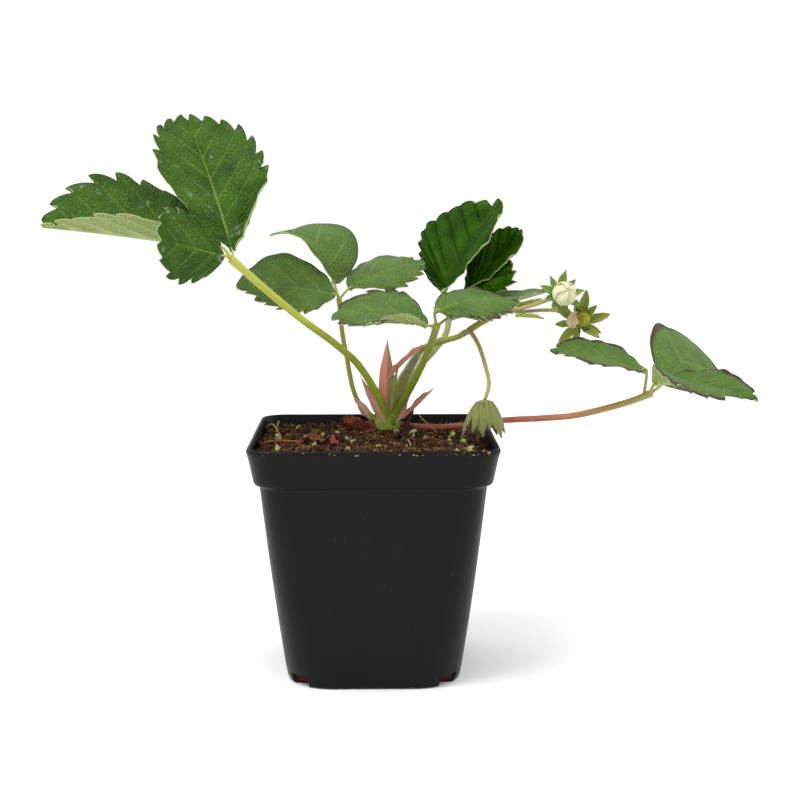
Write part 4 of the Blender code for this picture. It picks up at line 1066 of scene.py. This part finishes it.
# a leafy bract clasps the stalk at its first fork
bract_skin = stalk_material("leafy_bract", "#6f8a1c", "#86a028", "#8c9c34", 0.2)
FORK_BRACT = ((33.6, 6.6, 125.0), -12, 33, 10, 12.5, 2.6, 2.4, 18, 18, 14, 0, 0, 0.5)
blade(shaped(FORK_BRACT), target, (1, 2), pleat=0.2, depth=0.3, thickness=0.26, ribs=6, wave=0.3,
      finishes=(2, 2, 2), fringe=40, hair=1, first=0.3)
piece("peduncle", target, [truss_skin, silk, bract_skin])
for name, (places, low, high) in PEDICELS.items():
    target = Form()
    route = smooth_route(places, 9)
    stalk(target, route, np.linspace(low, high, len(route)), 9, (0.4, 0.9), 12)
    piece(name, target, [hanging_skin, silk])
BRACTS = {
    "bract_upper": ((52.0, -5.6, 135.0), -20, 34, 0, 12.0, 2.6, 2.4, 22, 22, 42, 0, 0, 0.5),
    "bract_lower": ((51.6, -7.6, 133.0), -20, -2, 0, 11.0, 1.5, 1.5, 26, 26, 6, 0, 0, 0.40),
}


def sepal_material(name, deep, light, tip, tip_share):
    """Sepal or bract: matt green with parallel veins and a browned tip."""
    made, tree, shader = new_material(name)
    marks = read_marks(tree)
    place = add(tree, "TexCoord", {}, "Object")
    stripes = lengthwise(tree, marks, (5.0, 0.3), 2.0, 3.0)
    cloud = add(tree, "TexNoise", {"Vector": place, "Scale": 1 / (2.2 * MM), "Detail": 4.0})
    tint = add(tree, "Mix", {0: stripes, 6: rgb(deep), 7: rgb(light)}, 2, data_type="RGBA")
    brown = add(tree, "Math", {0: cloud, 1: -1.6, 2: marks[0]}, operation="MULTIPLY_ADD")
    brown = add(tree, "MapRange", {0: brown, 1: -0.4, 2: 0.9, 3: tip_share, 4: 0.0})
    tint = add(tree, "Mix", {0: brown, 6: tint, 7: rgb(tip)}, 2, data_type="RGBA")
    relief = add(tree, "Bump", {"Height": stripes, "Strength": 0.5, "Distance": 0.12 * MM})
    feed(tree, shader, {"Base Color": tint, "Roughness": 0.6, "Normal": relief, "Sheen Weight": 0.2})
    return made


bract_green = sepal_material("green_bract", "#7a8a24", "#a0a440", "#8a6a3c", 0.6)
for name, row in BRACTS.items():
    target = Form()
    blade(shaped(row), target, (0, 0), pleat=0.1, depth=0, thickness=0.26, ribs=6, wave=0.2,
          finishes=(0, 0, 0), fringe=60, hair=1)
    piece(name, target, [bract_green, silk])


# -------------------------------------------------------------------- Flower bud
# A bud about to open: five cream petals wrapped over each other, held in a ring of
# green sepals that have started to part.
def facing(axis):
    """Axes of a flower, with its third along the stalk's direction."""
    return np.array(Vector(axis).to_track_quat("Z", "Y").to_matrix().transposed())


def radial_of(axes, turn):
    """The direction away from a flower's axis at a turn."""
    return math.cos(turn) * axes[0] + math.sin(turn) * axes[1]


def sepal_ring(target, place, axis, count, hub, length, width, spread, curl, finish=0, alternate=0.8,
               silk_finish=1, jitter=6.0, twist=0.0, peak=0.42):
    """Add a ring of pointed sepals round a hub disc. spread is each one's angle from the
    axis in degrees, curl how much it bends on outward; every second one is shorter."""
    axes = facing(axis)
    place = np.asarray(place, float)
    for k in range(count):
        turn = 2 * math.pi * k / count + twist
        radial = radial_of(axes, turn)
        angle = math.radians(spread + rng.normal(0, jitter))
        along = unit(math.cos(angle) * axes[2] + math.sin(angle) * radial)
        face = unit(math.cos(angle) * -radial + math.sin(angle) * axes[2])
        size = (alternate if k % 2 else 1.0) * rng.uniform(0.92, 1.08)
        form = {"base": place + hub * radial * 0.75, "axes": np.stack((along, np.cross(face, along), face)),
                "length": length * size, "left": width * size, "right": width * size,
                "fold_left": 14, "fold_right": 14, "arch": curl, "bend": rng.normal(0, 6), "cup": 0,
                "furl": (0, 0), "lifted": (0, 0), "peak": peak}
        blade(form, target, (0, 0), pleat=0.06, depth=0, thickness=0.28, ribs=5, wave=0.12,
              finishes=(finish, finish, finish), fringe=26, hair=silk_finish)
    turns = np.arange(24) * 2 * math.pi / 24
    rings = []
    for radius, lift in ((hub * 0.35, -1.1), (hub * 0.8, -0.8), (hub, -0.3), (hub * 1.02, 0.2),
                         (hub * 0.8, 0.5), (hub * 0.2, 0.6)):
        round_axis = np.cos(turns)[:, None] * axes[0] + np.sin(turns)[:, None] * axes[1]
        rings.append(place + radius * round_axis + lift * axes[2])
    target.add(*loft(rings), finish, (3, 0, 0))


BUD_AXIS = (0.2, -0.84, 0.4)
bud_green = sepal_material("green_bud_sepal", "#557a18", "#7f9c34", "#8d8a40", 0.35)
target = Form()
sepal_ring(target, (67.0, -16.0, 140.8), BUD_AXIS, 9, 2.2, 7.0, 1.5, 84, -44, alternate=0.84, jitter=9)
piece("bud_calyx", target, [bud_green, silk])
petal_cream, tree, shader = new_material("cream_petal")
marks = read_marks(tree)
veins = lengthwise(tree, marks, (9.0, 0.8), 2.0, 3.0)
tint = add(tree, "Mix", {0: veins, 6: rgb("#bdbb8c"), 7: rgb("#d6d5b6")}, 2, data_type="RGBA")
greenish = add(tree, "MapRange", {0: marks[0], 1: 0.0, 2: 0.4, 3: 0.6, 4: 0.0})
tint = add(tree, "Mix", {0: greenish, 6: tint, 7: rgb("#9da860")}, 2, data_type="RGBA")
relief = add(tree, "Bump", {"Height": veins, "Strength": 0.5, "Distance": 0.15 * MM})
feed(tree, shader, {"Base Color": tint, "Roughness": 0.6, "Normal": relief, "Sheen Weight": 0.1})
target = Form()
axes = facing(BUD_AXIS)
centre = np.array((68.0, -19.6, 141.2))
BUD_RADIUS, BUD_HALF = 4.3, 4.0
for petal in range(5):
    # a petal is a patch of the bud's own round, lifted where it overlaps the next one
    start = math.radians(72 * petal)
    rows, cols = 18, 20
    patch = []
    for layer in (0.0, -0.35):
        for i in range(rows + 1):
            share = i / rows
            rise = math.radians(-62 + 148 * share)
            bulge = 0.45 + 0.55 * math.sin(math.pi * min(1, share * 1.3 + 0.12))
            half = math.radians(64) * (1 - 0.35 * share ** 2) * bulge
            for j in range(cols + 1):
                side = 2 * j / cols - 1
                turn = start + half * side + 0.5 * share
                lifted = BUD_RADIUS + layer + 0.28 * side + 0.12 * math.sin(5 * side + 2 * share)
                radius = lifted * math.cos(rise)
                height = BUD_HALF * (1 + layer / BUD_RADIUS) * math.sin(rise) + 0.18 * side
                patch.append(centre + radius * radial_of(axes, turn) + height * axes[2])
    n = cols + 1
    shift = (rows + 1) * n
    faces = []
    for i in range(rows):
        for j in range(cols):
            a, b, c, d = i * n + j, i * n + j + 1, (i + 1) * n + j + 1, (i + 1) * n + j
            faces += [(a, b, c, d), (d + shift, c + shift, b + shift, a + shift)]
        a, b = i * n, (i + 1) * n
        faces += [(a, b, b + shift, a + shift), (b + cols, a + cols, a + cols + shift, b + cols + shift)]
    for j in range(cols):
        a, b = j, rows * n + j
        faces += [(a + 1, a, a + shift, a + 1 + shift), (b, b + 1, b + 1 + shift, b + shift)]
    grid = np.array([(i / rows, 2 * j / cols - 1 + petal,
                      0) for i in range(rows + 1) for j in range(cols + 1)])
    target.add(patch, faces, 0, np.concatenate((grid, grid)))
core_shapes, core_faces = lumps(4, 1, 0.0)
core = core_shapes[0] * (BUD_RADIUS - 0.5) @ np.diag((1, 1, BUD_HALF / BUD_RADIUS)) @ axes
target.add(core + centre, core_faces, 0, (0.5, 0, 0))
piece("bud_petals", target, [petal_cream])


# ----------------------------------------------------------------- Spent flower
# A flower past its petals: a star of yellow-green sepals round a small domed head that
# is covered with seed-like carpels and dark dried anthers. One tan petal still clings.
SPENT_AXIS = (0.25, -0.9, 0.3)
SEED_TURN = 2.39996                     # golden angle, from one carpel to the next
CARPELS, ANTHERS = 120, 20
spent_green = sepal_material("yellowing_sepal", "#3c5a06", "#8f9a1c", "#8a6424", 0.6)
target = Form()
sepal_ring(target, (74.6, -10.4, 130.4), SPENT_AXIS, 10, 2.2, 10.4, 1.8, 76, -8, alternate=0.76, jitter=20,
           peak=0.5, twist=0.1)
piece("spent_calyx", target, [spent_green, silk])
carpel = strand_material("yellow_green_carpel", "#7c7c1c", "#b9b43a")
anther = strand_material("dried_black_anther", "#140f0a", "#3a2c1c")
target = Form()
axes = facing(SPENT_AXIS)
centre = np.array((75.8, -12.6, 131.4))
dome_shapes, dome_faces = lumps(3, 1, 0.25)
target.add(dome_shapes[0] * (2.3, 2.3, 1.5) @ axes + centre, dome_faces, 0, (0.4, 0, 0))
seed_shapes, seed_faces = lumps(1, 3, 0.5)
for k in range(CARPELS):
    # carpels in the spiral that seed heads have
    lift = 1 - k / CARPELS
    turn = k * SEED_TURN
    spread = math.sqrt(max(0.0, 1 - lift ** 2))
    out = spread * radial_of(axes, turn) * 2.4 + lift * 1.6 * axes[2]
    target.add(seed_shapes[k % 3] * rng.uniform(0.24, 0.38) + centre + out, seed_faces, 0,
               (rng.uniform(), 0, 0))
for k in range(ANTHERS):
    # anthers on short bent threads round the foot of the dome
    turn = rng.uniform(0, 2 * math.pi)
    radial = radial_of(axes, turn)
    reach = rng.uniform(3.0, 4.6)
    end = centre + radial * reach + axes[2] * rng.uniform(-0.2, 1.3)
    bend = centre + radial * (reach * 0.7) + axes[2] * 0.3
    route = smooth_route((centre + radial * 2.0 - axes[2] * 0.6, bend, end), 4)
    points, faces, _, _ = tube(route, np.full(9, 0.1), 5)
    target.add(points, faces, 0, (0.7, 0, 0))
    target.add(crumb_shapes[k % CRUMB_KINDS] * rng.uniform(0.22, 0.36) + end, crumb_faces, 1,
               (rng.uniform(), 0, 0))
piece("spent_receptacle", target, [carpel, anther])
dry_petal = strand_material("dried_tan_petal", "#9a8462", "#c0ac88")
target = Form()
CLINGING = ((72.4, -14.6, 135.0), -110, -52, 0, 7.2, 2.0, 2.4, 24, 24, 30, 0, 20, 0.62)
blade(shaped(CLINGING), target, (0, 0), pleat=0.2, depth=0, thickness=0.2, ribs=7, wave=0.5,
      finishes=(0, 0, 0))
piece("spent_petal", target, [dry_petal])


# ------------------------------------------------------------ Hanging young fruit
# A flower that has set: grey-green downy sepals hang like a bell over a small green fruit
# that has only begun to swell, coloured near black as painted shade under the bell.
DOWN_AXIS = (0.04, -0.12, -1)
bell_green = sepal_material("downy_grey_sepal", "#44501a", "#84883a", "#6a5a30", 0.55)
target = Form()
sepal_ring(target, (40.1, -15.3, 101.6), DOWN_AXIS, 11, 2.6, 13.4, 2.5, 42, -40, alternate=0.84, jitter=4,
           peak=0.44)
piece("hanging_calyx", target, [bell_green, silk])
# the fruit is coloured near black: painted shade under the bell of sepals
young_fruit_shade_tint = strand_material("young_fruit_painted_shade", "#1d1a0c", "#4a4a1c")
target = Form()
axes = facing(DOWN_AXIS)
centre = np.array((40.3, -16.3, 96.4))
target.add(dome_shapes[0] * (3.0, 3.0, 4.0) @ axes + centre, dome_faces, 0, (0.2, 0, 0))
YOUNG_SEEDS = 110
for k in range(YOUNG_SEEDS):
    lift = 1 - 1.7 * k / YOUNG_SEEDS
    turn = k * SEED_TURN
    spread = math.sqrt(max(0.0, 1 - lift ** 2))
    out = spread * radial_of(axes, turn) * 3.0 + lift * 4.0 * axes[2]
    target.add(seed_shapes[k % 3] * 0.34 + centre + out, seed_faces, 0, (rng.uniform(), 0, 0))
piece("young_fruit", target, [young_fruit_shade_tint])


# ------------------------------------------------------------------ Studio floor
# A plain near-white sheet that the pot stands on.
bm = bmesh.new()
bmesh.ops.create_circle(bm, cap_ends=True, radius=6.0, segments=96)
floor_mesh = bpy.data.meshes.new("floor_mesh")
bm.to_mesh(floor_mesh)
bm.free()
floor = placed("floor", floor_mesh)
floor.location.z = -0.0002
card, tree, shader = new_material("matt_white_card")
place = add(tree, "TexCoord", {}, "Object")
cloud = add(tree, "TexNoise", {"Vector": place, "Scale": 3.0, "Detail": 2.0})
tint = add(tree, "Mix", {0: cloud, 6: rgb("#f4f4f4"), 7: rgb("#f8f8f8")}, 2, data_type="RGBA")
feed(tree, shader, {"Base Color": tint, "Roughness": 0.9, "Specular IOR Level": 0.1})
floor_mesh.materials.append(card)


# ------------------------------------------------------------------------- Light
# A white room with two large soft boxes: one high at the left front, one at the right.
world = bpy.data.worlds.new("studio")
bpy.context.scene.world = world
world.use_nodes = True
feed(world.node_tree, world.node_tree.nodes["Background"], {"Color": (1, 1, 1, 1), "Strength": 1.08})
bpy.context.scene.view_settings.view_transform = "Standard"
for name, place, size, power in (("key", (-0.45, -0.35, 1.1), 0.6, 9.0),
                                 ("fill", (0.9, -0.1, 0.7), 0.8, 3.0)):
    lamp = bpy.data.lights.new(name, "AREA")
    lamp.size = size
    lamp.energy = power
    holder = placed(name, lamp)
    holder.location = place
    aim = Vector((0, 0, 0.1)) - Vector(place)
    holder.rotation_euler = aim.to_track_quat("-Z", "Y").to_euler()


# ------------------------------------------------------------------------ Camera
# It looks slightly down on the rim of the pot.
camera_data = bpy.data.cameras.new("camera")
camera_data.lens = 67.3
camera_data.sensor_width = 36.0
camera = placed("camera", camera_data)
camera.location = (0.0, -0.55, 0.1764)
camera.rotation_euler = (math.radians(90 - 7.85), 0.0, math.radians(-1.03))
bpy.context.scene.camera = camera
